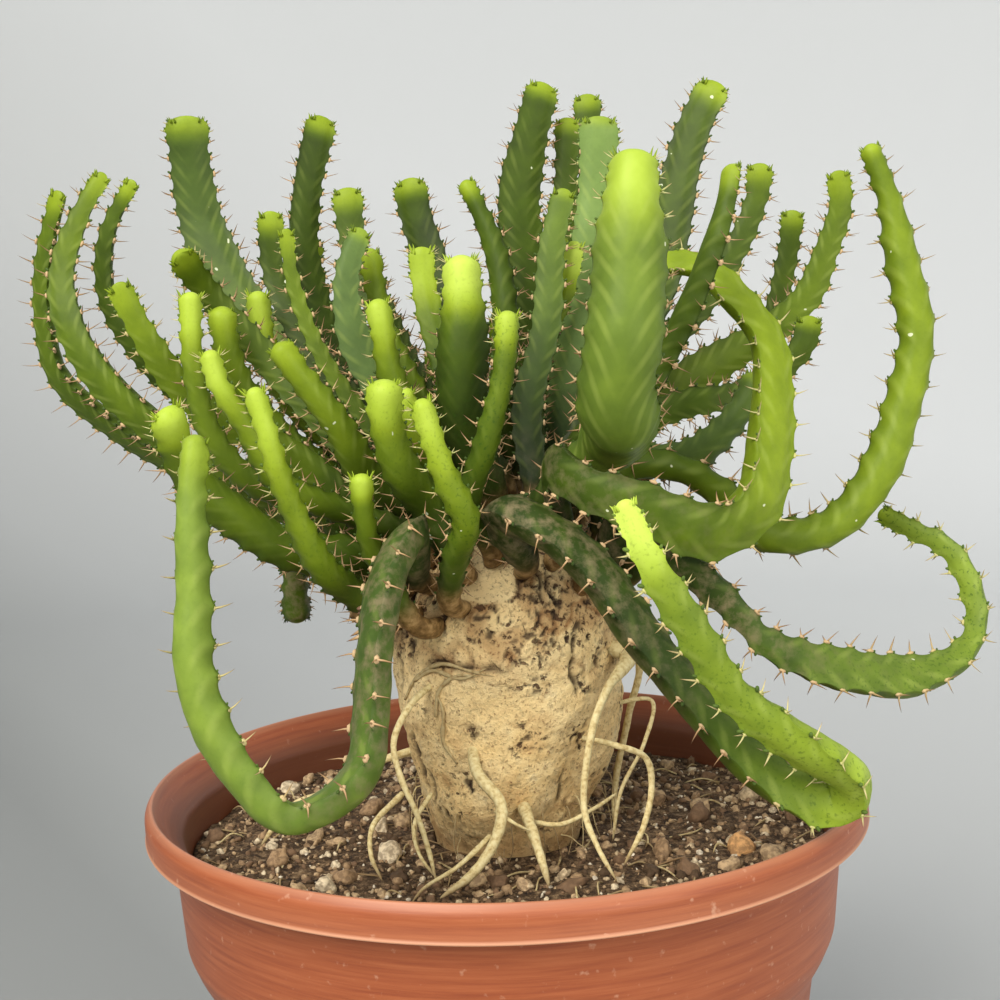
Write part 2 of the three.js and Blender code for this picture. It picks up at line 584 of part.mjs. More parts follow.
// Whether a spine's point keeps clear of every other stem, the crown and the rim
function isClear(point, own, lines) {
  if (point.distanceTo(rimPoint(point)) < 3) return false;
  const fromCrown = point.clone().sub(crownCentre);
  fromCrown.z *= crownRadius / crownRise;
  if (fromCrown.length() < crownRadius + 0.6) return false;
  return lines.every((line, index) => index === own ||
    line.points.every((place, i) => place.distanceTo(point) > line.room[i] + 0.4));
}

// One stem: a flat section with a channel above, a rounded back below, and teeth on both edges.
// Each tooth is a short ridge that carries one spine on the channel's side and one on the back.
function makeStem(index, lines) {
  const stem = stems[index];
  const curve = new THREE.CatmullRomCurve3(lines[index].points, false, "centripetal");
  const length = curve.getLength();
  const rows = Math.max(3, Math.round((length - firstTooth - lastTooth) / toothSpacing));
  const pitch = (length - firstTooth - lastTooth) / rows;
  const points = [];
  const faces = [];
  const middle = curve.getPointAt(0.5).sub(curve.getPointAt(0));
  const outward = new THREE.Vector3(middle.x, middle.y, 0).normalize();
  const side = new THREE.Vector3(0, 0, 1).cross(outward);
  let previous = 0;

  // The section's frame, carried along the curve without turning and then twisted
  const frameAt = (distance) => {
    const steps = Math.max(1, Math.ceil((distance - previous) / 1.5));
    for (let step = 1; step <= steps; step += 1) {
      const place = previous + ((distance - previous) * step) / steps;
      const heading = curve.getTangentAt(THREE.MathUtils.clamp(place / length, 0, 1));
      side.addScaledVector(heading, -side.dot(heading)).normalize();
    }
    previous = distance;
    const heading = curve.getTangentAt(THREE.MathUtils.clamp(distance / length, 0, 1));
    const twist = THREE.MathUtils.degToRad(along(stem.twist, distance / length));
    const across = side.clone().applyAxisAngle(heading, twist);
    const up = heading.clone().cross(across);
    return { origin: curve.getPointAt(THREE.MathUtils.clamp(distance / length, 0, 1)), heading, across, up };
  };
  const place = (frame, across, up) => {
    const point = frame.origin.clone();
    return point.addScaledVector(frame.across, across).addScaledVector(frame.up, up);
  };
  const add = (point) => points.push(point.toArray()) - 1;

  const section = (distance) => {
    const width = stemWidth(stem, distance, length);
    const pastNeck = THREE.MathUtils.smoothstep(distance, 0, neckLength);
    const girth = THREE.MathUtils.lerp(1, stem.girth ?? 1, pastNeck);
    const flat = THREE.MathUtils.smoothstep(distance, 0, neckLength);
    return {
      half: width / 2,
      edge: width * 0.12 * flat,
      channel: width * girth * THREE.MathUtils.lerp(0.36, 0.18, flat),
      back: width * girth * 0.36,
      backHalf: width * 0.27,
    };
  };
  // The channel line and the two lines of the back at one place
  const innerRing = (frame, shape, scale) => ({
    channel: add(place(frame, 0, shape.channel * scale)),
    back: [-1, 1].map((hand) => add(place(frame, hand * shape.backHalf * scale, -shape.back * scale))),
  });
  const face = (hand, a, b, c) => faces.push(hand > 0 ? [a, b, c] : [a, c, b]);

  const start = frameAt(0);
  const startShape = section(0);
  let ring = innerRing(start, startShape, 1);
  ring.edges = [-1, 1].map((hand) => add(place(start, hand * startShape.half, 0)));
  const [startLeft, startRight] = ring.edges;
  faces.push([startRight, startLeft, ring.channel]);
  faces.push([startRight, ring.back[1], startLeft], [startLeft, ring.back[1], ring.back[0]]);

  for (let row = 0; row <= rows; row += 1) {
    const distance = firstTooth + row * pitch;
    const valleyDistance = distance - (row === 0 ? firstTooth : pitch) / 2;
    const valley = frameAt(valleyDistance);
    const valleyShape = section(valleyDistance);
    const low = [-1, 1].map((hand) => {
      return add(place(valley, hand * (valleyShape.half - toothHeight), valleyShape.edge));
    });
    const shape = section(distance);
    const reach = shape.half + (row === 0 ? 0 : toothHeight * 0.5);
    const before = frameAt(distance - toothHalfLength);
    const here = frameAt(distance);
    const after = frameAt(distance + toothHalfLength);
    const next = innerRing(here, shape, 1);
    const first = [-1, 1].map((hand) => add(place(before, hand * reach, shape.edge)));
    const second = [-1, 1].map((hand) => add(place(after, hand * reach, shape.edge)));
    [-1, 1].forEach((hand, i) => {
      // Above the edge, then below it
      for (const upper of [true, false]) {
        const turn = upper ? hand : -hand;
        const oldInner = upper ? ring.channel : ring.back[i];
        const newInner = upper ? next.channel : next.back[i];
        face(turn, ring.edges[i], oldInner, low[i]);
        face(turn, low[i], oldInner, newInner);
        face(turn, low[i], newInner, first[i]);
        const ridge = place(here, hand * reach, shape.edge);
        const lean = new THREE.Vector3()
          .addScaledVector(here.across, hand * 0.6)
          .addScaledVector(here.up, upper ? 0.75 : -0.7)
          .addScaledVector(here.heading, 0.15)
          .normalize();
        const bent = new THREE.Vector3()
          .addScaledVector(here.across, hand * 0.5)
          .addScaledVector(here.up, upper ? 0.3 : -0.3)
          .addScaledVector(here.heading, 0.75)
          .normalize();
        const tips = [lean, bent].map((way) => ridge.clone().addScaledVector(way, spineLength));
        const tip = row > 0 && tips.find((point) => isClear(point, index, lines));
        if (!tip) {
          face(turn, first[i], newInner, second[i]);
          continue;
        }
        const inner = new THREE.Vector3().fromArray(points[newInner]);
        const root = add(ridge.clone().lerp(inner, 0.3));
        const point = add(tip);
        face(turn, first[i], newInner, root);
        face(turn, root, newInner, second[i]);
        face(turn, first[i], root, point);
        face(turn, root, second[i], point);
        face(turn, second[i], first[i], point);
      }
    });
    faces.push([ring.back[0], ring.back[1], next.back[1]], [ring.back[0], next.back[1], next.back[0]]);
    ring = { ...next, edges: second };
  }

  const end = frameAt(length - 0.7);
  const endShape = section(length);
  const last = innerRing(end, endShape, 0.6);
  last.edges = [-1, 1].map((hand) => add(place(end, hand * endShape.half * 0.6, endShape.edge * 0.6)));
  const tip = add(frameAt(length).origin);
  [-1, 1].forEach((hand, i) => {
    face(hand, ring.edges[i], ring.channel, last.channel);
    face(hand, ring.edges[i], last.channel, last.edges[i]);
    face(-hand, ring.edges[i], ring.back[i], last.back[i]);
    face(-hand, ring.edges[i], last.back[i], last.edges[i]);
    face(hand, last.edges[i], last.channel, tip);
    face(-hand, last.edges[i], last.back[i], tip);
  });
  faces.push([ring.back[0], ring.back[1], last.back[1]], [ring.back[0], last.back[1], last.back[0]]);
  faces.push([last.back[0], last.back[1], tip]);
  return meshGeometry(points, faces);
}

const plant = new THREE.Group();

function addPart(name, geometry, material) {
  const mesh = new THREE.Mesh(geometry, material);
  mesh.name = name;
  plant.add(mesh);
}

addPart("pot", makePot(), finish(colours.pot, 0.55));
addPart("soil", makeSoil(), finish(colours.soil, 0.95));
addPart("caudex", makeCaudex(), finish(colours.caudex, 0.85));
const lines = stemLines();
stems.forEach((stem, index) => {
  const name = `stem_${String(index + 1).padStart(2, "0")}`;
  addPart(name, makeStem(index, lines), finish(stem.young ? colours.youngStem : colours.oldStem, 0.5));
});

export default plant;
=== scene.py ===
import math
import time

import bmesh
import bpy
import numpy as np
from mathutils import Matrix, Vector, noise


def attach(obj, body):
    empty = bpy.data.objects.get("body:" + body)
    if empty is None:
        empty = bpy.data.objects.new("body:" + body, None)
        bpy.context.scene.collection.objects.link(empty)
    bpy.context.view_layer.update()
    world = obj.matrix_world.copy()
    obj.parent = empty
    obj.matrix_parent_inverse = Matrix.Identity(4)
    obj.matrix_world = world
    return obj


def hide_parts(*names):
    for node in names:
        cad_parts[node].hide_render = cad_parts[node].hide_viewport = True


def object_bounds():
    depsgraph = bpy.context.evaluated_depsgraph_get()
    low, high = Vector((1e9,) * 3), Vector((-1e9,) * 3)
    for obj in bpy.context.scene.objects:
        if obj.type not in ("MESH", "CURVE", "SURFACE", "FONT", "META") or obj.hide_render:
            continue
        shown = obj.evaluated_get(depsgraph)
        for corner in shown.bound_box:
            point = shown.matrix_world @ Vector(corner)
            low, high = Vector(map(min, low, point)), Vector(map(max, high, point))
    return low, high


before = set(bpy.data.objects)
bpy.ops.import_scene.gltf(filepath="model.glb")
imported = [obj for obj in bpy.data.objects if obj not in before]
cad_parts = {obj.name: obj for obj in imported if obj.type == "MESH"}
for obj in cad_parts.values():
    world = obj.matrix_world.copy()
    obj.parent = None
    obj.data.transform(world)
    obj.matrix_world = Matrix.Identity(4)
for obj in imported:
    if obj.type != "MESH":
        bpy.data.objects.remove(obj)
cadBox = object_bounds()  # the solid model's box, before any piece stands for a node
started = time.time()


def report(stage):
    print(f"{time.time() - started:6.1f} s  {stage}")


# Camera, at the photograph's place

view = {
    "place": (0.75, -270.0, 200.0),  # mm from the middle of the pot's underside
    "pitch": 5.5,  # degrees downwards
    "roll": 2.0,  # the plant's up leans this far to the left in the picture
    "lens": 50.0,  # mm
    "sensor": 36.0,  # mm
    "clip": (0.01, 20.0),  # nearest and furthest thing that shows, in metres
}


def makeCamera():
    pitch = math.radians(view["pitch"])
    roll = math.radians(view["roll"])
    forward = Vector((0, math.cos(pitch), -math.sin(pitch)))
    level = Vector((1, 0, 0))
    upright = Vector((0, math.sin(pitch), math.cos(pitch)))
    right = level * math.cos(roll) - upright * math.sin(roll)
    up = level * math.sin(roll) + upright * math.cos(roll)
    turn = Matrix((right, up, -forward)).transposed().to_4x4()
    data = bpy.data.cameras.new("camera")
    data.lens = view["lens"]
    data.sensor_width = view["sensor"]
    data.clip_start, data.clip_end = view["clip"]
    camera = bpy.data.objects.new("camera", data)
    camera.matrix_world = Matrix.Translation(Vector(view["place"]) * 0.001) @ turn
    bpy.context.scene.collection.objects.link(camera)
    bpy.context.scene.camera = camera


# Small sums that several pieces share

def smooth(value, low, high):  # soft step from 0 at low to 1 at high
    share = np.clip((np.asarray(value, float) - low) / (high - low), 0, 1)
    return share * share * (3 - 2 * share)


def between(first, second, share):
    return first + (second - first) * share


def along(entries, share):  # value between the entries of a list spread evenly over 0 to 1
    return np.interp(np.clip(share, 0, 1), np.linspace(0, 1, len(entries)), entries)


def unit(rows):
    rows = np.asarray(rows, float)
    return rows / np.maximum(np.linalg.norm(rows, axis=-1, keepdims=True), 1e-12)


def cloud(points, size, seed=0.0):  # smooth noise of that size in mm, from -1 to 1
    shift = Vector((seed * 7.1, seed * 3.3, seed * 5.7))
    return np.array([noise.noise(Vector(p) / size + shift) for p in points])


def fullTurn(sides):  # even angles round a circle
    return np.arange(sides) * 2 * math.pi / sides


def spokes(first, second, sides):  # ways out all round, between two axes for each place
    turn = fullTurn(sides)[None, :, None]
    return first[:, None] * np.cos(turn) + second[:, None] * np.sin(turn)


def lathe(profile, sides):  # a line of (radius, height) turned about the Z axis
    turn = fullTurn(sides)
    rings = [(r * np.cos(turn), r * np.sin(turn), np.full(sides, z)) for r, z in profile]
    return np.vstack([np.column_stack(ring) for ring in rings])


def curveAt(points, places):  # centripetal curve through the points
    points = np.asarray(points, float)
    last = len(points) - 1
    place = last * np.clip(places, 0, 1)
    index = np.minimum(np.floor(place).astype(int), last - 1)
    weight = (place - index)[:, None]
    padded = np.vstack([2 * points[0] - points[1], points, 2 * points[-1] - points[-2]])
    a, b, c, d = (padded[index + shift] for shift in range(4))
    spans = ((a, b), (b, c), (c, d))
    ab, bc, cd = (np.sum((q - p) ** 2, axis=1)[:, None] ** 0.25 for p, q in spans)
    leave = ((b - a) / ab - (c - a) / (ab + bc) + (c - b) / bc) * bc
    reach = ((c - b) / bc - (d - b) / (bc + cd) + (d - c) / cd) * bc
    square = weight ** 2
    cube = weight ** 3
    bend = (3 * c - 3 * b - 2 * leave - reach) * square + (2 * b - 2 * c + leave + reach) * cube
    return b + leave * weight + bend


def evenly(points, shares):  # places at shares of the curve's length, and that length
    steps = np.linspace(0, 1, 201)
    trail = curveAt(points, steps)
    run = np.concatenate([[0], np.cumsum(np.linalg.norm(np.diff(trail, axis=0), axis=1))])
    return curveAt(points, np.interp(np.asarray(shares) * run[-1], run, steps)), run[-1]


def lengthOf(points):
    return evenly(points, [0.0])[1]


def carried(origins, side):  # frames along a line, with the side carried without turning
    heading = unit(np.gradient(origins, axis=0))
    sides = np.empty_like(heading)
    for i, way in enumerate(heading):
        side = unit(side - way * np.dot(side, way))
        sides[i] = side
    return heading, sides


# Meshes: a piece gathers points and faces in millimetres, and becomes one object in metres

class Piece:
    def __init__(self):
        self.points = []
        self.faces = []
        self.finish = []
        self.marks = []
        self.count = 0

    def add(self, points, faces, finish=0, **marks):  # a mark is one value a point, or one for all
        points = np.asarray(points, float).reshape(-1, 3)
        for block in faces if isinstance(faces, list) else [faces]:
            self.faces.extend((np.asarray(block) + self.count).tolist())
            self.finish.extend([finish] * len(block))
        self.points.append(points)
        self.marks.append((len(points), marks))
        self.count += len(points)

    def build(self, name, finishes, slot, *nodes):
        mesh = bpy.data.meshes.new(name)
        mesh.from_pydata((np.vstack(self.points) * 0.001).tolist(), [], self.faces)
        for finish in finishes:
            mesh.materials.append(finish)
        mesh.polygons.foreach_set("material_index", self.finish)
        mesh.polygons.foreach_set("use_smooth", [True] * len(self.faces))
        for mark in sorted({key for _, marks in self.marks for key in marks}):
            values = [np.broadcast_to(np.ravel(marks.get(mark, 0.0)), size)
                      for size, marks in self.marks]
            layer = mesh.attributes.new(mark, "FLOAT", "POINT")
            layer.data.foreach_set("value", np.concatenate(values).astype(np.float32))
        mesh.update()
        piece = bpy.data.objects.new(name, mesh)
        bpy.context.scene.collection.objects.link(piece)
        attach(piece, "root")
        if nodes:
            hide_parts(*nodes)
        return piece


def tubeFaces(rings, sides, closed=True):  # bands of quads between rings, and a pole at each end
    side = np.arange(sides)
    after = (side + 1) % sides
    bands = []
    for low in range(0, (rings - 1) * sides, sides):
        high = low + sides
        bands.append(np.column_stack([low + side, low + after, high + after, high + side]))
    faces = [np.vstack(bands)]
    if closed:
        last = (rings - 1) * sides
        pole = np.full(sides, rings * sides)
        faces.append(np.column_stack([pole, after, side]))
        faces.append(np.column_stack([pole + 1, last + side, last + after]))
    return faces


def capped(values, low=0.0, high=0.0):  # a mark on the rings, and on the pole at each end
    return np.append(np.ravel(values), [low, high])


def repeated(faces, count, size):  # the faces of many copies that have that many points each
    shift = (np.arange(count) * size)[:, None, None]
    return [(face[None] + shift).reshape(-1, face.shape[1]) for face in faces]


def tube(path, radii, sides, stepLength, wobble, seed):  # round root, twig or fibre
    path = np.asarray(path, float)
    count = max(6, math.ceil(lengthOf(path) / stepLength))
    shares = np.linspace(0, 1, count + 1)
    origins, _ = evenly(path, shares)
    heading, normal = carried(origins, np.array([0.3, 0.5, 0.8]))
    lastSixth = np.clip(shares * 6 - 5, 0, 1)
    radius = along(radii, shares) * np.sqrt(np.clip(1 - lastSixth ** 2, 0.02, 1))
    uneven = cloud(origins, 1.7, seed) * wobble + cloud(origins, 0.8, seed + 1) * wobble * 0.5
    radius = (radius * (1 + uneven))[:, None, None]
    spread = spokes(normal, np.cross(heading, normal), sides) * radius
    rings = origins[:, None] + spread
    points = np.vstack([rings.reshape(-1, 3), origins[:1], origins[-1:]])
    return points, tubeFaces(count + 1, sides)


def beadTemplate(sides, rings):  # unit ball with its poles on the third axis
    tilt = np.arange(1, rings + 1) * math.pi / (rings + 1)
    turn = fullTurn(sides)
    flat = np.sin(tilt)[:, None]
    height = np.repeat(-np.cos(tilt), sides).reshape(rings, sides)
    ball = np.stack([flat * np.cos(turn), flat * np.sin(turn), height], axis=-1).reshape(-1, 3)
    return np.vstack([ball, [0, 0, -1], [0, 0, 1]]), tubeFaces(rings, sides)


def beads(piece, centres, axes, finish, template, **marks):  # small balls, each with three axes
    ball, faces = template
    points = centres[:, None] + np.einsum("pk,nkc->npc", ball, axes)
    spread = {key: np.repeat(value, len(ball)) for key, value in marks.items()}
    piece.add(points, repeated(faces, len(centres), len(ball)), finish, **spread)


def spikes(piece, roots, ways, bends, lengths, widths, finish, sides, **marks):
    # Curved tapering points: a ring sunk in at the root, two rings above it, and the point
    shares = np.array([-0.12, 0.3, 0.72])
    thick = np.array([1.0, 0.7, 0.36])
    bent = 0.5 * np.clip(shares, 0, 1) ** 2
    reach = shares[None, :, None] * lengths[:, None, None]
    sweep = bent[None, :, None] * lengths[:, None, None]
    middles = roots[:, None] + ways[:, None] * reach + bends[:, None] * sweep
    ends = roots + ways * lengths[:, None] + bends * (0.5 * lengths[:, None])
    first = unit(np.cross(ways, [0.31, 0.57, 0.76]))
    around = spokes(first, np.cross(ways, first), sides)
    rings = middles[:, :, None] + around[:, None] * (thick * widths[:, None])[:, :, None, None]
    count = len(roots)
    points = np.concatenate([rings.reshape(count, -1, 3), middles[:, :1], ends[:, None]], axis=1)
    size = points.shape[1]
    shade = capped(np.repeat(np.clip(shares, 0, 1), sides), 0, 1)
    spread = {key: np.repeat(value, size) for key, value in marks.items()}
    faces = repeated(tubeFaces(len(shares), sides), count, size)
    piece.add(points, faces, finish, shade=np.tile(shade, count), **spread)


# Materials: one function adds a node, one turns a hex colour to linear

def linear(code):
    parts = [int(code[i:i + 2], 16) / 255 for i in (1, 3, 5)]
    bright = [c / 12.92 if c <= 0.04045 else ((c + 0.055) / 1.055) ** 2.4 for c in parts]
    return (*bright, 1.0)


def join(tree, item, inputs):  # sets each input, or links it to a node's first or only factor
    for name, value in inputs.items():
        if isinstance(value, bpy.types.Node):
            value = value.outputs.get("Fac") or value.outputs[0]
        if isinstance(value, bpy.types.NodeSocket):
            tree.links.new(value, item.inputs[name])
        else:
            item.inputs[name].default_value = value


def addNode(tree, kind, inputs=None, stops=None, **settings):
    item = tree.nodes.new("ShaderNode" + kind)
    for name, value in settings.items():
        setattr(item, name, value)
    join(tree, item, inputs or {})
    if stops:  # places along a ramp, each with a hex colour or a grey
        ramp = item.color_ramp
        while len(ramp.elements) < len(stops):
            ramp.elements.new(1.0)
        for element, (place, colour) in zip(ramp.elements, stops):
            element.position = place
            element.color = linear(colour) if isinstance(colour, str) else (*[colour] * 3, 1)
    return item


def newFinish(name, **surface):
    finish = bpy.data.materials.new(name)
    finish.use_nodes = True
    tree = finish.node_tree
    shader = tree.nodes["Principled BSDF"]
    for socket, value in surface.items():
        shader.inputs[socket.replace("_", " ")].default_value = value
    return finish, tree, shader, addNode(tree, "TexCoord").outputs["Object"]


def cells(size):  # a pattern's scale, in cells to the metre, from a cell's size in mm
    return 1000 / size


def makeCuticle():
    # Waxy succulent cuticle: a soft satin sheen over wet olive-green flesh, lime where it is new,
    # blue-green and corky where it is old, with pale slanting bars between the teeth.
    finish, tree, shader, place = newFinish("waxySucculentCuticle", Roughness=0.5, IOR=1.45,
                                            Specular_IOR_Level=0.22)
    tone = addNode(tree, "Attribute", attribute_name="tone")
    bar = addNode(tree, "Attribute", attribute_name="bar")
    bloom = addNode(tree, "Attribute", attribute_name="bloom")
    wear = addNode(tree, "Attribute", attribute_name="wear")
    freckled = addNode(tree, "Attribute", attribute_name="freckled")
    drift = addNode(tree, "TexNoise", {"Vector": place, "Scale": cells(5), "Detail": 3.0})
    shifted = addNode(tree, "Math", {0: drift, 1: -0.5}, operation="ADD")
    varied = addNode(tree, "Math", {0: shifted, 1: 0.24, 2: tone}, operation="MULTIPLY_ADD")
    body = addNode(tree, "ValToRGB", {"Fac": varied}, stops=[
        (0.0, "#161f0a"), (0.2, "#2e3f0f"), (0.35, "#475c13"), (0.5, "#657b18"), (0.65, "#869c22"),
        (0.8, "#a1ba38"), (1.0, "#c0d858")])
    dull = addNode(tree, "ValToRGB", {"Fac": varied}, stops=[
        (0.0, "#202c1a"), (0.3, "#415731"), (0.6, "#728e4c"), (1.0, "#acc672")])
    waxed = addNode(tree, "MixRGB", {"Fac": bloom, "Color1": body, "Color2": dull})
    phase = addNode(tree, "Attribute", attribute_name="phase")
    turned = addNode(tree, "Math", {0: phase, 1: 2 * math.pi}, operation="MULTIPLY")
    wave = addNode(tree, "Math", {0: turned}, operation="COSINE")
    crested = addNode(tree, "Math", {0: wave, 1: 0.0}, operation="MAXIMUM")
    stripe = addNode(tree, "Math", {0: crested, 1: bar}, operation="MULTIPLY")
    barred = addNode(tree, "MixRGB", {"Fac": stripe, "Color1": waxed, "Color2": linear("#adbe60")})
    freckles = addNode(tree, "TexNoise", {"Vector": place, "Scale": cells(0.6), "Detail": 2.0})
    dots = addNode(tree, "ValToRGB", {"Fac": freckles}, stops=[(0.56, 0.0), (0.7, 0.7)])
    dotted = addNode(tree, "Math", {0: dots, 1: freckled}, operation="MULTIPLY")
    speckled = addNode(tree, "MixRGB", {"Fac": dotted, "Color1": barred,
                                        "Color2": linear("#345212")})
    crust = addNode(tree, "TexNoise", {"Vector": place, "Scale": cells(2.6), "Detail": 5.0,
                                       "Roughness": 0.65})
    patches = addNode(tree, "ValToRGB", {"Fac": crust}, stops=[(0.45, 0.0), (0.66, 0.75)])
    worn = addNode(tree, "Math", {0: patches, 1: wear}, operation="MULTIPLY")
    aged = addNode(tree, "MixRGB", {"Fac": worn, "Color1": speckled, "Color2": linear("#83775a")})
    flecks = addNode(tree, "TexNoise", {"Vector": place, "Scale": cells(2.2), "Detail": 1.0})
    dust = addNode(tree, "ValToRGB", {"Fac": flecks}, stops=[(0.79, 0.0), (0.8, 0.8)])
    dusted = addNode(tree, "MixRGB", {"Fac": dust, "Color1": aged, "Color2": linear("#dfe6c8")})
    cork = addNode(tree, "Attribute", attribute_name="cork")
    scaly = addNode(tree, "ValToRGB", {"Fac": crust}, stops=[
        (0.35, "#4f3a22"), (0.5, "#8c6e44"), (0.65, "#bf9e6c")])
    necked = addNode(tree, "MixRGB", {"Fac": cork, "Color1": dusted, "Color2": scaly})
    ripple = addNode(tree, "TexNoise", {"Vector": place, "Scale": cells(1.4), "Detail": 3.0})
    bump = addNode(tree, "Bump", {"Height": ripple, "Strength": 0.3, "Distance": 0.00012})
    join(tree, shader, {"Base Color": necked, "Normal": bump})
    return finish


def makeHorn():
    # Dry horn of the spines: matt tan at the foot, darker and reddish at the point, pale when new.
    finish, tree, shader, _ = newFinish("dryHornSpine", Roughness=0.6, IOR=1.5)
    shade = addNode(tree, "Attribute", attribute_name="shade")
    fresh = addNode(tree, "Attribute", attribute_name="fresh")
    old = addNode(tree, "ValToRGB", {"Fac": shade}, stops=[
        (0.0, "#cdb188"), (0.35, "#b08c62"), (1.0, "#5e4030")])
    young = addNode(tree, "ValToRGB", {"Fac": shade}, stops=[
        (0.0, "#b9c373"), (0.5, "#d5cf97"), (1.0, "#b5925f")])
    mixed = addNode(tree, "MixRGB", {"Fac": fresh, "Color1": old, "Color2": young})
    join(tree, shader, {"Base Color": mixed})
    return finish


def makeBark():
    # Corky bark of the swollen stem: dry, chalky cream plates, red-brown stains round the breaks,
    # fine brown specks, nearly black open pits, and painted shade on the crown top and along the
    # scar's edge.
    finish, tree, shader, place = newFinish("corkyCaudexBark", Roughness=0.88, IOR=1.45)
    dark = addNode(tree, "Attribute", attribute_name="dark")
    fair = addNode(tree, "Attribute", attribute_name="fair")
    stain = addNode(tree, "Attribute", attribute_name="stain")
    broad = addNode(tree, "TexNoise", {"Vector": place, "Scale": cells(6), "Detail": 4.0,
                                       "Roughness": 0.6})
    base = addNode(tree, "ValToRGB", {"Fac": broad}, stops=[
        (0.3, "#dfba80"), (0.45, "#f4d698"), (0.6, "#fde4aa"), (0.75, "#ffefc0")])
    chalk = addNode(tree, "MixRGB", {"Fac": fair, "Color1": base, "Color2": linear("#fce4ac")})
    stained = addNode(tree, "MixRGB", {"Fac": stain, "Color1": chalk, "Color2": linear("#ab7b49")})
    grain = addNode(tree, "TexNoise", {"Vector": place, "Scale": cells(0.7), "Detail": 6.0,
                                       "Roughness": 0.7})
    specks = addNode(tree, "ValToRGB", {"Fac": grain}, stops=[(0.54, 0.0), (0.66, 0.8)])
    speckled = addNode(tree, "MixRGB", {"Fac": specks, "Color1": stained,
                                        "Color2": linear("#80552f")})
    pored = addNode(tree, "Attribute", attribute_name="pored")
    holes = addNode(tree, "TexNoise", {"Vector": place, "Scale": cells(1.5), "Detail": 3.0,
                                       "Roughness": 0.6})
    bored = addNode(tree, "ValToRGB", {"Fac": holes}, stops=[(0.56, 0.0), (0.63, 0.9)])
    pores = addNode(tree, "Math", {0: bored, 1: pored}, operation="MULTIPLY")
    holed = addNode(tree, "MixRGB", {"Fac": pores, "Color1": speckled, "Color2": linear("#54351f")})
    # the dark mark holds the pits, gashes and crack, and also painted shade on the crown top and
    # along the scar's edge
    pitsAndPaintedShade = addNode(tree, "MixRGB", {"Fac": dark, "Color1": holed, "Color2": linear("#33231a")})
    deep = addNode(tree, "Math", {0: pores, 1: -1.2, 2: grain}, operation="MULTIPLY_ADD")
    bump = addNode(tree, "Bump", {"Height": deep, "Strength": 1.0, "Distance": 0.0006})
    join(tree, shader, {"Base Color": pitsAndPaintedShade, "Normal": bump})
    return finish


def makeRootSkin():
    # Thin dry root skin: cream with brown dirt in its wrinkles.
    finish, tree, shader, place = newFinish("dryRootSkin", Roughness=0.8, IOR=1.45)
    soiled = addNode(tree, "Attribute", attribute_name="soiled")
    grain = addNode(tree, "TexNoise", {"Vector": place, "Scale": cells(0.8), "Detail": 5.0})
    skin = addNode(tree, "ValToRGB", {"Fac": grain}, stops=[
        (0.3, "#b29b66"), (0.48, "#dac993"), (0.7, "#e8ddac")])
    dirty = addNode(tree, "MixRGB", {"Fac": soiled, "Color1": skin, "Color2": linear("#7a6040")})
    bump = addNode(tree, "Bump", {"Height": grain, "Strength": 0.5, "Distance": 0.0002})
    join(tree, shader, {"Base Color": dirty, "Normal": bump})
    return finish


def makePlastic():
    # Moulded polypropylene, terracotta coloured: even and satin, with drawn lines round the wall,
    # pale chalky scuffs, a painted highlight along the lip and painted shade inside.
    finish, tree, shader, place = newFinish("mouldedTerracottaPlastic", Roughness=0.46, IOR=1.49)
    drawn = addNode(tree, "Mapping", {"Vector": place, "Scale": (1.0, 1.0, 26.0)})
    lines = addNode(tree, "TexNoise", {"Vector": drawn, "Scale": cells(22), "Detail": 5.0,
                                       "Roughness": 0.6})
    base = addNode(tree, "ValToRGB", {"Fac": lines}, stops=[
        (0.3, "#8d4629"), (0.5, "#9e5431"), (0.7, "#aa603b")])
    scuffs = addNode(tree, "TexNoise", {"Vector": place, "Scale": cells(1.7), "Detail": 3.0})
    spots = addNode(tree, "ValToRGB", {"Fac": scuffs}, stops=[(0.66, 0.0), (0.8, 0.5)])
    scuffed = addNode(tree, "MixRGB", {"Fac": spots, "Color1": base, "Color2": linear("#d6ab90")})
    # painted highlight: a pale line along the lip's lower edge and a paler top of the lip
    lip = addNode(tree, "Attribute", attribute_name="rubbed")
    rubbed = addNode(tree, "MixRGB", {"Fac": lip, "Color1": scuffed, "Color2": linear("#cf9a7a")})
    # painted shade: the inside wall and floor of the pot are darker
    damp = addNode(tree, "Attribute", attribute_name="damp")
    shadedInside = addNode(tree, "MixRGB", {"Fac": damp, "Color1": rubbed, "Color2": linear("#5d3825")})
    bump = addNode(tree, "Bump", {"Height": lines, "Strength": 0.35, "Distance": 0.00015})
    join(tree, shader, {"Base Color": shadedInside, "Normal": bump})
    return finish


def makeLoam():
    # Damp peat and loam: nearly black-brown crumbs with paler dry ones.
    finish, tree, shader, place = newFinish("peatLoam", Roughness=0.95, IOR=1.4)
    grain = addNode(tree, "TexNoise", {"Vector": place, "Scale": cells(1.8), "Detail": 8.0,
                                       "Roughness": 0.75})
    crumbs = addNode(tree, "ValToRGB", {"Fac": grain}, stops=[
        (0.35, "#1b120b"), (0.48, "#54402c"), (0.6, "#927859"), (0.72, "#c6ad8a")])
    bump = addNode(tree, "Bump", {"Height": grain, "Strength": 1.0, "Distance": 0.0012})
    join(tree, shader, {"Base Color": crumbs, "Normal": bump})
    return finish


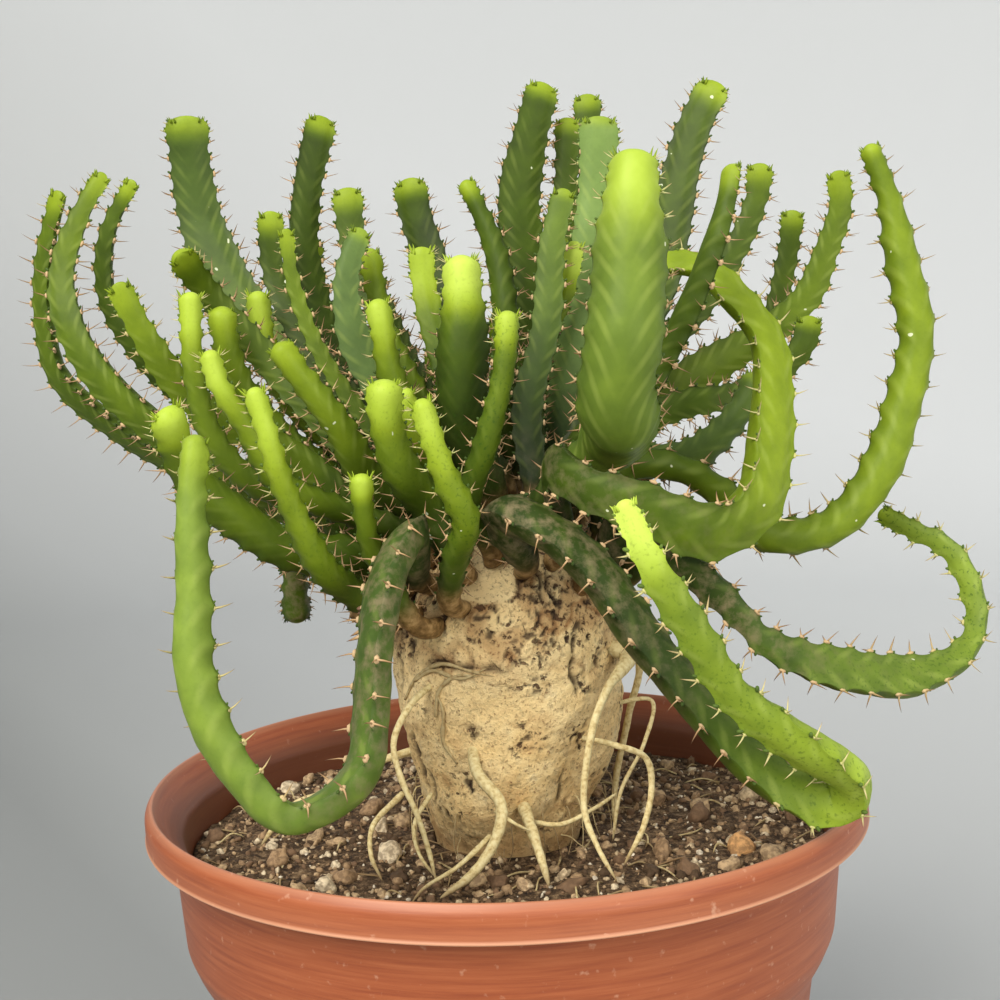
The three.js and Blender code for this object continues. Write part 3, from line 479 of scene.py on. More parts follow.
def makeStone():
    # River grit and pumice: dull broken faces, each grain its own tan, grey, cream or brown.
    finish, tree, shader, place = newFinish("mixedRiverGrit", Roughness=0.85, IOR=1.5)
    kind = addNode(tree, "Attribute", attribute_name="kind")
    colours = addNode(tree, "ValToRGB", {"Fac": kind}, stops=[
        (0.0, "#46341f"), (0.22, "#7a5f45"), (0.4, "#a58865"), (0.58, "#c2a67f"), (0.74, "#d3bd98"),
        (0.86, "#d6a46b"), (0.93, "#e2d1b0"), (1.0, "#efe4cc")])
    colours.color_ramp.interpolation = "CONSTANT"
    grain = addNode(tree, "TexNoise", {"Vector": place, "Scale": cells(0.9), "Detail": 5.0})
    dirt = addNode(tree, "ValToRGB", {"Fac": grain}, stops=[(0.42, 0.55), (0.6, 0.0)])
    dirty = addNode(tree, "MixRGB", {"Fac": dirt, "Color1": colours, "Color2": linear("#5a4430")})
    bump = addNode(tree, "Bump", {"Height": grain, "Strength": 0.6, "Distance": 0.0004})
    join(tree, shader, {"Base Color": dirty, "Normal": bump})
    return finish


def makeBoard():
    # Matt painted board for floor and backdrop: pale, with painted shade that turns it a soft grey
    # low down near the pot, darker to the left and in front.
    finish, tree, shader, place = newFinish("paleMattBoardPaintedShade", Roughness=0.9)
    paintedShadeSlope = addNode(tree, "VectorMath", {0: place, 1: (0.65, 0.4, 0.75)}, operation="DOT_PRODUCT")
    paintedShadeWash = addNode(tree, "ValToRGB", {"Fac": paintedShadeSlope.outputs["Value"]}, stops=[
        (0.0, "#8f9292"), (0.05, "#a4a7a7"), (0.18, "#bcbfc0"), (0.5, "#d8dbdc"),
        (0.85, "#e8ebed")])
    join(tree, shader, {"Base Color": paintedShadeWash})
    return finish


cuticle = makeCuticle()
horn = makeHorn()
bark = makeBark()
rootSkin = makeRootSkin()
plastic = makePlastic()
loam = makeLoam()
stone = makeStone()
report("materials")

makeCamera()

# The pot, turned from its outline

pot = {
    "height": 120.0, "rim": 70.0, "mouth": 67.4, "lip": 6.5, "shoulder": 65.0, "foot": 49.0,
    "stepTop": (63.4, 93.0), "stepBottom": (59.3, 84.0),  # radius and height of the moulded step
    "wall": 2.4, "floor": 3.0, "sides": 192,
    "rounding": 0.9, "arc": (0.0, 0.25, 0.5, 0.75, 1.0),  # each corner is an arc of so many places
    "drains": 4, "drainRadius": 4.0, "drainCircle": 32.0, "drainDepth": 20.0, "drainSides": 32,
    "rubbed": 0.35, "damp": 0.75,  # how pale the painted highlight on the top of the lip is, and how dark the painted shade inside
}


def rounded(outline):  # each inner corner of a (radius, height) line becomes a small arc
    line = [np.array(p, float) for p in outline]
    made = [line[0]]
    for before, corner, after in zip(line, line[1:], line[2:]):
        low = before - corner
        high = after - corner
        reach = min(pot["rounding"], 0.45 * np.linalg.norm(low), 0.45 * np.linalg.norm(high))
        start = corner + unit(low) * reach
        end = corner + unit(high) * reach
        for share in pot["arc"]:
            left = 1 - share
            made.append(left ** 2 * start + 2 * share * left * corner + share ** 2 * end)
    made.append(line[-1])
    return np.array(made)


def potInside(height):  # radius inside the wall
    stations = [
        (pot["floor"], pot["foot"] - pot["wall"] + 0.4),
        (pot["stepBottom"][1] - 1, pot["stepBottom"][0] - pot["wall"]),
        (pot["stepTop"][1], pot["stepTop"][0] - pot["wall"]),
        (pot["height"] - pot["lip"], pot["shoulder"] - pot["wall"] + 0.2),
        (pot["height"] - 1, pot["mouth"]),
    ]
    return float(np.interp(height, *zip(*stations)))


def makePot():
    top, rim, foot, sides = pot["height"], pot["rim"], pot["foot"], pot["sides"]
    lipBottom = top - pot["lip"]
    stepRadius, stepTop = pot["stepTop"]
    bodyRadius, stepBottom = pot["stepBottom"]
    outline = [
        (0, 0), (foot - 3.2, 0), (foot - 1.6, 0), (foot, 1.6), (bodyRadius, stepBottom),
        (bodyRadius + 0.8, stepBottom + 2), (stepRadius - 1.4, stepTop - 3.5),
        (stepRadius, stepTop), (pot["shoulder"], lipBottom - 0.4), (rim - 1.2, lipBottom),
        (rim - 0.15, lipBottom + 0.25), (rim, lipBottom + 0.5), (rim - 0.2, lipBottom + 0.9),
        (rim - 0.1, top - 1.6), (rim - 1.1, top), (pot["mouth"] + 1.0, top),
        (pot["mouth"] + 0.1, top - 1.2)]
    inside = [(potInside(z), z) for z in (lipBottom, stepTop, stepBottom - 1, pot["floor"])]
    profile = rounded(outline + inside + [(0, pot["floor"])])[1:-1]
    points = np.vstack([lathe(profile, sides), [[0, 0, 0]], [[0, 0, pot["floor"]]]])
    radii, heights = np.repeat(profile, sides, axis=0).T
    # painted highlight: a pale line along the lower edge of the lip, and a paler top of the lip
    lipEdge = np.interp(heights, lipBottom + np.array([-0.3, 0.4, 1.2]), [0, 1, 0])
    lipTop = pot["rubbed"] * smooth(heights, top - 1.5, top)
    rubbed = np.maximum(lipEdge * (radii > rim - 1), lipTop)
    # painted shade: the inside wall and floor are darkened
    inward = np.arange(len(profile)) >= len(profile) - len(inside) * len(pot["arc"])
    damp = np.repeat(inward * pot["damp"], sides)
    body = Piece()
    body.add(points, tubeFaces(len(profile), sides), rubbed=capped(rubbed),
             damp=capped(damp, 0, pot["damp"]))
    drillDrains(body.build("potShell", [plastic], "pot", "pot"))


def drillDrains(shell):
    cutters = bmesh.new()
    radius = pot["drainRadius"] * 0.001
    for turn in fullTurn(pot["drains"]) + math.pi / pot["drains"]:
        middle = Vector((math.cos(turn), math.sin(turn), 0)) * pot["drainCircle"] * 0.001
        bmesh.ops.create_cone(cutters, cap_ends=True, segments=pot["drainSides"], radius1=radius,
                              radius2=radius, depth=pot["drainDepth"] * 0.001,
                              matrix=Matrix.Translation(middle))
    mesh = bpy.data.meshes.new("drains")
    cutters.to_mesh(mesh)
    cutters.free()
    drains = bpy.data.objects.new("drains", mesh)
    bpy.context.scene.collection.objects.link(drains)
    cut = shell.modifiers.new("drains", "BOOLEAN")
    cut.object = drains
    cut.operation = "DIFFERENCE"
    cut.solver = "EXACT"
    bpy.context.view_layer.update()
    drilled = shell.evaluated_get(bpy.context.evaluated_depsgraph_get())
    shell.data = bpy.data.meshes.new_from_object(drilled)
    shell.modifiers.clear()
    bpy.data.objects.remove(drains)
    shell.data.polygons.foreach_set("use_smooth", [True] * len(shell.data.polygons))


makePot()
report("pot")

# The caudex: a flask that swells above the soil, with lobes, open pits, a crack and a healed scar

caudex = {
    "centre": np.array([1.0, 0.0, 146.0]), "radius": 22.3, "rise": 26.0, "bottom": 85.0,  # crown
    # Height and radius of the flask
    "stations": [(85, 7), (95, 11.6), (108.4, 14.6), (115, 16.6), (125, 20), (135, 22),
                 (146, 22.3)],
    "lobes": {"depth": 0.7, "grow": (109, 120), "fade": (136, 146)},  # heights
    "foot": {"depth": 3.0, "height": 117, "tall": 6, "turn": 4.2, "wide": 0.5},
    "lean": (109, 125),  # heights between which the flask's middle moves to the crown's
    "sides": 300, "ringStep": 0.4, "buried": (90.0, 95.0, 100.0, 104.0), "shown": 106.0,
    "crownRings": 84, "crownTilts": (89, 4),
    "degree": 0.38,  # mm of bark to a degree of azimuth
    "crack": {"height": 144.0, "from": -138, "to": -88, "width": 0.6, "halo": 2.2},
    "scar": {"x": -2.9, "z": 162.6, "width": 6.6, "height": 5.6},
    # Gashes in the bark: azimuth in degrees, lowest and highest place, width in mm
    "gashes": [(-151, 150, 162, 0.8), (-144, 146, 156, 0.6), (-156, 136, 146, 0.9),
               (-147, 120, 131, 1.1), (-139, 118, 124, 0.7), (-70, 157, 168, 0.6),
               (-64, 154, 163, 0.5), (-78, 160, 169, 0.7), (-122, 152, 157, 0.4),
               (-56, 139, 150, 0.5), (-58, 118, 124, 0.6)],
    # How far each form of the bark stands out in mm, and how dark its hollows are
    "relief": {"broad": 0.42, "fine": 0.2, "crumple": 0.12, "wrinkle": 0.12, "breaks": -0.3,
               "pits": -0.45, "gashes": -0.9, "split": -0.8, "scar": -0.3, "shadowedScarEdge": -0.5},
    # shadowedScarEdge darkness is painted shadow along the scar's edge; crown darkness is dark
    # debris together with painted shade of the stems above
    "darkness": {"pits": 0.85, "gashes": 0.9, "split": 0.9, "shadowedScarEdge": 0.8, "crown": 0.75,
                 "under": 0.5, "breaks": 0.3},
}


def crownNormal(azimuth, angle):
    turn = np.radians(azimuth)
    lean = np.radians(angle)
    return unit(np.stack([np.sin(lean) * np.cos(turn) / caudex["radius"],
                          np.sin(lean) * np.sin(turn) / caudex["radius"],
                          np.cos(lean) / caudex["rise"]], axis=-1))


def crownPoint(azimuth, angle, gap=0.0):
    turn = np.radians(azimuth)
    lean = np.radians(angle)
    point = np.stack([caudex["radius"] * np.sin(lean) * np.cos(turn),
                      caudex["radius"] * np.sin(lean) * np.sin(turn),
                      caudex["rise"] * np.cos(lean)], axis=-1)
    return point + caudex["centre"] + crownNormal(azimuth, angle) * gap


def caudexWall(turn, level):  # the smooth form below the crown
    heights, radii = zip(*caudex["stations"])
    lobes, foot = caudex["lobes"], caudex["foot"]
    fade = smooth(level, *lobes["grow"]) * (1 - smooth(level, *lobes["fade"]))
    lobe = np.sin(turn * 3 + level / 9) + 0.7 * np.cos(turn * 5 - level / 7)
    above = (level - foot["height"]) / foot["tall"]
    aside = (turn % (2 * math.pi) - foot["turn"]) / foot["wide"]
    bulge = foot["depth"] * np.exp(-above ** 2 - aside ** 2)
    radius = np.interp(level, heights, radii) + fade * lobes["depth"] * lobe + bulge
    shift = caudex["centre"][0] * smooth(level, *caudex["lean"])
    return np.stack([radius * np.cos(turn) + shift, radius * np.sin(turn), level], axis=-1)


def gashMask(azimuth, height, crumple, fine):
    gashes = np.zeros(len(height))
    ragged = height + crumple
    for middle, low, high, width in caudex["gashes"]:
        away = (azimuth - middle + 3.5 * crumple) * caudex["degree"] / width
        ends = smooth(ragged, low - 1, low + 1) * (1 - smooth(ragged, high - 1, high + 1))
        gashes = np.maximum(gashes, np.exp(-away ** 2) * ends * smooth(fine, -0.6, -0.1))
    return gashes


def scarMasks(points, broad, crumple):  # inside the healed scar, and its sunken edge on the upper right, darkened as painted shadow
    scar = caudex["scar"]
    offX = (points[:, 0] - scar["x"]) / scar["width"]
    offZ = (points[:, 2] - scar["z"]) / scar["height"]
    spot = np.abs(offX + 0.12 * crumple) ** 3 + np.abs(offZ + 0.12 * broad) ** 3
    front = points[:, 1] < 0
    edge = smooth(spot, 0.8, 1.0) * (1 - smooth(spot, 1.0, 1.7)) * front
    return (1 - smooth(spot, 0.75, 1.0)) * front, edge * smooth(offX + offZ, -0.3, 0.5)


def barkRelief(points, ways):  # the rough form, and the marks that the bark's colours follow
    height = points[:, 2]
    azimuth = np.degrees(np.arctan2(points[:, 1], points[:, 0] - caudex["centre"][0]))
    shown = smooth(height, 106, 112)
    broad = cloud(points, 8.0, 1) + 0.5 * cloud(points, 3.6, 2)
    fine = cloud(points, 1.7, 3) + 0.6 * cloud(points, 0.9, 4)
    crumple = cloud(points, 2.4, 5)
    upper = smooth(height, 138, 152)
    right = smooth(azimuth, -95, -70)
    # Ragged plates of cork, and the brown breaks between them
    breaks = 1 - smooth(np.abs(cloud(points, 6.5, 6) + 0.3 * crumple), 0.02, 0.13)
    breaks = breaks * smooth(0.4 * upper + 0.5 * cloud(points, 9.0, 12), 0.05, 0.4)
    # Small open pits in loose bands, most of them high up and to the right
    bands = cloud(points * [1, 1, 1.6], 7.0, 7) + 0.55 * upper * (0.6 + 0.4 * right) - 0.1
    where = smooth(bands, 0.0, 0.4)
    specks = smooth(cloud(points, 0.75, 13), 0.36, 0.5) * (0.3 + 0.7 * where) * 0.8
    pits = np.maximum(smooth(cloud(points, 1.2, 8), 0.22, 0.4) * where, specks)
    gashes = gashMask(azimuth, height, crumple, fine)
    # A crack that wanders round the shoulder
    crack = caudex["crack"]
    wander = 1.6 * np.sin(np.radians(azimuth * 2.2)) + 1.1 * cloud(points, 6.0, 10)
    away = height - crack["height"] - wander
    ends = smooth(azimuth, crack["from"], crack["from"] + 14)
    ends = ends * (1 - smooth(azimuth, crack["to"] - 10, crack["to"]))
    split = np.exp(-(away / crack["width"]) ** 2) * ends * smooth(crumple, -0.4, 0.1)
    halo = np.exp(-(away / crack["halo"]) ** 2) * ends
    scar, shadowedScarEdge = scarMasks(points, broad, crumple)
    calm = 1 - 0.85 * scar
    wrinkle = cloud(points * [1, 1, 2.2], 3.0, 14) * smooth(height, 150, 135)
    # the top of the crown among the stem necks is darkened: dark debris there, together with
    # painted shade of the stems above
    crown = smooth(height + 1.5 * crumple, 163, 168) * (1 - scar)
    under = smooth(0.6 * crumple + 0.4 * fine, 0.2, 0.6) * smooth(height, 124, 109)

    forms = {"broad": broad, "fine": fine * calm, "crumple": crumple * calm, "wrinkle": wrinkle,
             "breaks": breaks * calm, "pits": pits * calm, "gashes": gashes, "split": split,
             "scar": scar, "shadowedScarEdge": shadowedScarEdge, "crown": crown, "under": under}
    depth = sum(forms[form] * reach for form, reach in caudex["relief"].items())
    forms["breaks"] = forms["breaks"] * smooth(fine, -0.2, 0.5)
    dark = sum(forms[form] * share for form, share in caudex["darkness"].items())
    fair = 0.4 * scar + 0.5 * smooth(broad, 0.0, 0.7) + 0.35 * smooth(height, 128, 138)
    patches = smooth(cloud(points, 5.0, 11) + 0.5 * upper - 0.25, 0.0, 0.5)
    stain = 0.55 * patches * calm * (0.35 + 0.65 * upper) + 0.35 * halo + 0.45 * breaks * calm
    # the crown top is also stained: dark debris together with painted shade
    stain = stain + 0.5 * smooth(height, 114, 108) + 0.4 * crown
    return points + ways * (depth * shown)[:, None], {
        "dark": np.clip(dark, 0, 0.95) * shown, "fair": np.clip(fair, 0, 1),
        "stain": np.clip(stain, 0, 0.85),
        "pored": (0.2 + 0.8 * smooth(where + 0.3 * upper, 0.15, 0.7)) * calm}


def makeCaudex():
    sides = caudex["sides"]
    turn = fullTurn(sides)
    shown = np.arange(caudex["shown"], caudex["centre"][2], caudex["ringStep"])
    points = [caudexWall(turn, np.full(sides, level))
              for level in (caudex["bottom"], *caudex["buried"], *shown)]
    ways = [np.column_stack([np.cos(turn), np.sin(turn), np.zeros(sides)])] * len(points)
    for tilt in np.linspace(*caudex["crownTilts"], caudex["crownRings"]):
        points.append(crownPoint(np.degrees(turn), np.full(sides, tilt)))
        ways.append(crownNormal(np.degrees(turn), np.full(sides, tilt)))
    shaped, marks = barkRelief(np.vstack(points), np.vstack(ways))
    poles = np.array([[0, 0, caudex["bottom"]], crownPoint(0.0, 0.0)])
    body = Piece()
    body.add(np.vstack([shaped, poles]), tubeFaces(len(points), sides),
             dark=capped(marks["dark"], 0, 0.6), fair=capped(marks["fair"]),
             stain=capped(marks["stain"]), pored=capped(marks["pored"]))
    body.build("caudexBark", [bark], "caudex", "caudex")


makeCaudex()
report("caudex")

# Aerial roots: the solid model's seven, and fine ones that only show

roots = [
    {"radius": (1.0, 1.9, 0.85, 0.7, 0.65, 0.55, 0.45), "path": [
        (14, -8, 146), (24, -10, 145), (19, -20, 140), (16, -24, 134), (14, -26, 120),
        (16, -29, 114), (19, -33, 109)]},
    {"radius": (0.5, 0.6, 0.6, 0.45), "path": [
        (14, -14, 130), (20, -20, 130), (26, -19, 127), (27, -19, 122), (25, -22, 115),
        (21, -25, 109)]},
    {"radius": (0.8, 0.6), "path": [
        (16, 2, 144), (27, 3, 141), (25, 2, 130), (22, 0, 118), (21, -1, 109)]},
    {"radius": (0.8, 1.1, 1.1, 0.9, 0.6), "path": [
        (-6, -14, 132), (-5, -25, 127), (-1, -28, 122), (-2, -31, 117), (-6, -34, 112),
        (-12, -38, 109)]},
    {"radius": (0.9, 1.2, 0.9, 0.6), "path": [(2, -12, 120), (4, -23, 117), (6, -30, 112),
                                              (7, -34, 109)]},
    {"radius": (0.6, 0.6, 0.55, 0.45), "path": [
        (-10, -12, 143), (-17, -22, 139), (-20, -24, 133), (-19, -25, 127), (-16, -27, 120),
        (-14, -28, 113), (-13, -30, 109)]},
    {"radius": (0.8, 0.6), "path": [
        (-12, 0, 126), (-24, -4, 124), (-34, -6, 119), (-42, -6, 116), (-48, -8, 109)]},
    {"radius": (0.55, 0.25), "path": [
        (-3, -30, 117), (-9, -34, 113), (-15, -36, 110), (-17, -37, 108)]},
    {"radius": (0.5, 0.2), "path": [(-2, -28, 121), (1, -29, 119), (4, -28, 117)]},
    {"radius": (0.5, 0.3), "path": [(4, -20, 116), (10, -22, 116), (16, -20, 118), (21, -14, 119)]},
    {"radius": (0.65, 0.35), "path": [
        (-20, -10, 119), (-25, -21, 116), (-25, -24, 112), (-23, -26, 108)]},
    {"radius": (0.45, 0.35), "path": [
        (20, -6, 134), (29, -4, 134), (27, -8, 127), (22, -10, 118), (20, -12, 109)]},
    {"radius": (0.45, 0.25), "path": [
        (-14, -17, 121), (-17, -22, 117), (-16, -27, 113), (-12, -29, 108)]},
]
barkThreads = {
    "radius": (0.3, 0.4, 0.2), "lift": 0.15,  # how far their middles lie above the bark
    "paths": [  # azimuth and height of thin roots that cling to the bark
        [(-148, 138), (-138, 143), (-122, 146), (-108, 145), (-96, 144)],
        [(-140, 142), (-128, 144.5), (-112, 143.5), (-100, 145.5)],
        [(-126, 136), (-124, 141), (-114, 144), (-104, 144)],
        [(-118, 127), (-124, 131), (-122, 137), (-126, 141)],
    ],
}
rootHairs = {"count": 34, "seed": 11, "reach": (2.5, 7.0), "radius": (0.16, 0.06),
             "heights": (109, 120), "ground": 108.0}


def makeRoots():
    body = Piece()
    for number, root in enumerate(roots, 1):
        points, faces = tube(root["path"], root["radius"], 12, 0.5, 0.13, number)
        body.add(points, faces, soiled=0.75 * smooth(points[:, 2], 113, 108) + 0.1)
    for number, thread in enumerate(barkThreads["paths"], 20):
        azimuths, heights = zip(*thread)
        path = caudexWall(np.radians(azimuths), np.array(heights, float))
        path = path + unit(path * [1, 1, 0]) * barkThreads["lift"]
        body.add(*tube(path, barkThreads["radius"], 8, 0.6, 0.3, number), soiled=0.55)
    draw = np.random.RandomState(rootHairs["seed"])
    for hair in range(rootHairs["count"]):
        # Two of three grow from the side that shows most
        azimuth = draw.uniform(*(math.pi, 2 * math.pi) if hair % 3 else (0, math.pi))
        level = draw.uniform(*rootHairs["heights"])
        start = caudexWall(np.array(azimuth), np.array(level))
        out = np.array([math.cos(azimuth), math.sin(azimuth), 0])
        aside = np.array([-out[1], out[0], 0]) * draw.uniform(-1, 1)
        reach = draw.uniform(*rootHairs["reach"])
        drop = level - rootHairs["ground"]
        path = [start - out * 0.6, start + out * reach * 0.3 + aside,
                start + (out + aside * 0.5) * reach * 0.6 - [0, 0, drop * 0.6],
                start + (out * 0.8 + aside) * reach * 0.8 - [0, 0, drop + 0.4]]
        body.add(*tube(path, rootHairs["radius"], 5, 0.9, 0.2, hair + 40),
                 soiled=draw.uniform(0.3, 0.9))
    body.build("aerialRoots", [rootSkin], "caudex")


makeRoots()
report("roots")

# Soil: a bed of loam that fills the pot, covered with grit

soil = {
    "level": 107.4, "gap": 0.3, "sides": 240, "ringStep": 0.75,
    "hole": 14.6, "holeBottom": 84.0,  # where the foot of the caudex stands
    "swell": [(0.9, 11.0), (0.55, 4.0), (0.3, 1.6)],  # height and breadth of its humps in mm
    "seed": 5, "clear": 0.8,  # mm between the grit and the wall
    # Each kind of grit: how many, half its length in mm, how near to each other, how round the ball
    # is, how flat they lie, how rough they are, and which kinds of stone
    "stones": {"count": 150, "size": (1.1, 2.7), "spacing": 0.8, "facets": 3, "flat": (0.45, 0.8),
               "rough": 0.5, "kinds": [0.1, 0.3, 0.3, 0.45, 0.45, 0.6, 0.6, 0.78, 0.95]},
    "grains": {"count": 1300, "size": (0.5, 1.2), "spacing": 0, "facets": 2, "flat": (0.45, 0.9),
               "rough": 0.5, "kinds": [0.1, 0.1, 0.3, 0.3, 0.45, 0.45, 0.6, 0.6, 0.78, 0.95]},
    "chips": {"count": 3400, "size": (0.3, 0.8), "spacing": 0, "facets": 1, "flat": (0.25, 0.7),
              "rough": 0.3, "kinds": [0.1, 0.1, 0.1, 0.3, 0.3, 0.45, 0.45, 0.6, 0.78, 1.0]},
    "pebble": {"facets": 3, "flat": (0.6, 0.8), "rough": 0.4},
    # Single pebbles: place in mm, half their length, and kind of stone
    "pebbles": [(51, 15, 3.0, 0.78), (44, -15, 3.2, 0.88), (49, -21, 2.6, 0.6), (40, 10, 2.6, 0.6),
                (29, -16, 2.4, 0.45), (-55, 21, 2.6, 0.3), (-59, 2, 2.4, 0.3),
                (-30, -23, 2.8, 0.45), (28, 18, 2.2, 0.3), (-5, -27, 2.4, 0.6)],
    "fibres": 150, "fibreReach": (1.5, 4.5), "fibreRadius": (0.16, 0.2, 0.1), "edge": 62.0,
    "twig": [(-47, -32, 108.6), (-43, -35, 108.9), (-38, -38, 108.6), (-34, -40, 108.4)],
    "twigRadius": (0.9, 1.0, 0.7),
}


def soilHeight(x, y):
    flat = np.column_stack([x, y, np.zeros(len(x))])
    humps = [rise * cloud(flat, breadth, seed)
             for seed, (rise, breadth) in enumerate(soil["swell"], 31)]
    return soil["level"] + sum(humps)


def makeSoilBed():
    sides, level, gap = soil["sides"], soil["level"], soil["gap"]
    heights, radii = zip(*caudex["stations"])
    outer = potInside(level) - gap
    inner = soil["hole"] + gap
    tops = np.append(np.arange(inner, outer, soil["ringStep"]), outer)
    profile = [(np.interp(z, heights, radii) + 2 * gap, z) for z in (soil["holeBottom"], 95.0)]
    profile += [(radius, level) for radius in tops]
    profile += [(potInside(z) - gap, z) for z in (93.0, 83.0, pot["floor"] + gap)]
    points = lathe(profile, sides)
    onTop = np.isclose(points[:, 2], level)
    x, y, _ = points[onTop].T
    calm = smooth(np.hypot(x, y), inner, inner + 1.5)
    points[onTop, 2] = between(level, soilHeight(x, y), calm)
    poles = [[0, 0, soil["holeBottom"]], [0, 0, pot["floor"] + gap]]
    body = Piece()
    body.add(np.vstack([points, poles]), tubeFaces(len(profile), sides))
    body.build("soilBed", [loam], "soil", "soil")


def ballMesh(subdivisions):
    made = bmesh.new()
    bmesh.ops.create_icosphere(made, subdivisions=subdivisions, radius=1.0)
    made.verts.ensure_lookup_table()
    points = np.array([v.co for v in made.verts], float)
    faces = np.array([[v.index for v in f.verts] for f in made.faces])
    made.free()
    return points, faces


def spinFrames(draw, count):  # random turns, as three rows each
    first = unit(draw.normal(size=(count, 3)))
    second = unit(np.cross(first, draw.normal(size=(count, 3))))
    return np.stack([first, second, np.cross(first, second)], axis=1)


def scatter(draw, count, sizes, spacing):  # places and sizes, most of them small
    placed = []
    reach = potInside(soil["level"]) - soil["clear"]
    for _ in range(count * 30):  # so many tries at most
        if len(placed) == count:
            break
        size = between(*sizes, draw.rand() ** 2.2)
        nearest, furthest = soil["hole"] + 1 + size, reach - size
        radius = math.sqrt(draw.uniform(nearest ** 2, furthest ** 2))
        turn = draw.uniform(0, 2 * math.pi)
        x, y = radius * math.cos(turn), radius * math.sin(turn)
        near = ((size + other[2]) * spacing > math.dist((x, y), other[:2]) for other in placed)
        if not (spacing and any(near)):
            placed.append((x, y, size))
    return np.array(placed)


def addGrit(body, draw, places, look, kinds):
    ball, faces = ballMesh(look["facets"])
    rough = look["rough"]
    x, y, sizes = places.T
    count = len(places)
    stretch = np.column_stack([np.ones(count), draw.uniform(0.6, 1.0, count),
                               draw.uniform(*look["flat"], count)])
    centres = np.column_stack([x, y, soilHeight(x, y) + sizes * draw.uniform(-0.1, 0.3, count)])
    turns = spinFrames(draw, count)
    for centre, size, shape, turn, kind in zip(centres, sizes, stretch, turns,
                                               draw.choice(kinds, count)):
        seed = draw.uniform(0, 50)
        lumps = 1 + rough * cloud(ball + seed, 0.9) + 0.5 * rough * cloud(ball - seed, 0.45)
        points = (ball * lumps[:, None] * shape) @ turn * size + centre
        body.add(points, faces, kind=kind)


def scatterGrit(body, draw, look):
    places = scatter(draw, look["count"], look["size"], look["spacing"])
    addGrit(body, draw, places, look, look["kinds"])


def makeGrit():
    draw = np.random.RandomState(soil["seed"])
    stones = Piece()
    scatterGrit(stones, draw, soil["stones"])
    for *pebble, kind in soil["pebbles"]:
        addGrit(stones, draw, np.array([pebble], float), soil["pebble"], [kind])
    stones.build("gritStones", [stone], "soil")
    grains = Piece()
    scatterGrit(grains, draw, soil["grains"])
    scatterGrit(grains, draw, soil["chips"])
    grains.build("gritGrains", [stone], "soil")


def makeLitter():
    draw = np.random.RandomState(soil["seed"] + 1)
    body = Piece()
    for fibre, (x, y, _) in enumerate(scatter(draw, soil["fibres"], (1.0, 1.0), 0)):
        way = draw.uniform(0, 2 * math.pi)
        step = np.array([math.cos(way), math.sin(way)]) * draw.uniform(*soil["fibreReach"])
        aside = np.array([-step[1], step[0]]) * draw.uniform(-0.4, 0.4)
        flat = np.array([[x, y] - step, [x, y] + aside, [x, y] + step])
        lift = [0.1, draw.uniform(0.5, 1.4), 0.2]
        path = np.column_stack([flat, soilHeight(*flat.T) + lift])
        path[:, :2] *= np.minimum(1, soil["edge"] / np.hypot(path[:, 0], path[:, 1]))[:, None]
        body.add(*tube(path, soil["fibreRadius"], 5, 0.7, 0.3, fibre),
                 soiled=draw.uniform(0.3, 1.0))
    body.add(*tube(soil["twig"], soil["twigRadius"], 10, 0.5, 0.3, 3), soiled=0.85)
    body.build("soilLitter", [rootSkin], "soil")


makeSoilBed()
makeGrit()
makeLitter()
report("soil")

# Stems: flat, two-edged shoots on narrow necks, in the order and on the lines of the solid model

stemLayout = {
    "neckWidth": 4.4, "neckLength": 14.0, "clearance": 0.3, "sampleStep": 3.5,  # mm
    "seatSpacing": 5.9, "seatRounds": 200, "lowestSeat": 0.16,  # as a share of the crown's rise
    "spreadRounds": 90, "pairReach": 30.0,
    "spare": (0.6, 0.15),  # room beside a stem and beside its neck
    "rimRadius": 68.7, "rimHeight": 118.0, "rimRoom": 2.6, "crownRoom": 0.5,
    "around": 24, "ringStep": 0.86, "tipInset": 0.9, "seed": 300,
    "toothPitch": 3.8, "toothFirst": 8.0, "toothOffsets": (0.0, 0.4), "toothReach": 0.35,
    "relief": 0.18,
}
# The section as shares of the width: round at the neck, and a flat blade further on
section = {
    "crest": 0.12,  # how far the edges lie above the middle
    "neck": 0.36, "channel": 0.17, "back": 0.38,  # height of the upper side, depth of the lower
    "upperPower": (2.0, 1.7), "lowerPower": (2.0, 2.5), "roundBend": 0.5, "lowerBend": 0.72,
    "groove": 0.035, "ribSlant": 1.45, "ribShift": 0.08,
}
# What differs between old and young growth: shape, colour of the tip, strength of the bars, how
# pale the spines are, how short the last spines are, and the leaves of the growing point in mm
growth = {
    "old": {"upperBend": 1.0, "plump": 0.0, "valley": 0.5, "relief": 0.9, "grooveAt": 0.72,
            "grooveWide": 0.16, "peak": 0.66, "bars": 1.0, "fresh": 0.75, "tipSpine": 0.4,
            "leaves": (0.9, 1.5)},
    "young": {"upperBend": 0.8, "plump": 0.07, "valley": 0.3, "relief": 0.5, "grooveAt": 0.5,
              "grooveWide": 0.12, "peak": 0.8, "bars": 0.4, "fresh": 1.0, "tipSpine": 0.65,
              "leaves": (1.2, 2.1)},
}
skin = {
    "crownPaintedShade": (0.36, 1.0), "crownReach": 34,  # painted shade down in the crown: tone at the foot and further out, in mm
    "wear": 0.25, "freckled": (0.12,), "corky": 6, "cork": 0.95,  # where a stem names no other
}
teethLook = {
    "bud": (0.22, 0.38), "budShape": (0.8, 0.85, 1.25), "budAhead": 0.7,  # half sizes in mm
    "shield": (0.68, 0.98), "shieldShape": (0.52, 0.34, 0.78), "shieldBehind": 0.25,
    "sunk": 0.16, "coarseShield": 1.2, "coarseSpine": 1.3,  # coarse where the teeth lie far apart
    "spine": 3.0, "spineVary": (0.8, 1.12), "spineWidth": 0.17, "lost": 0.05,
}
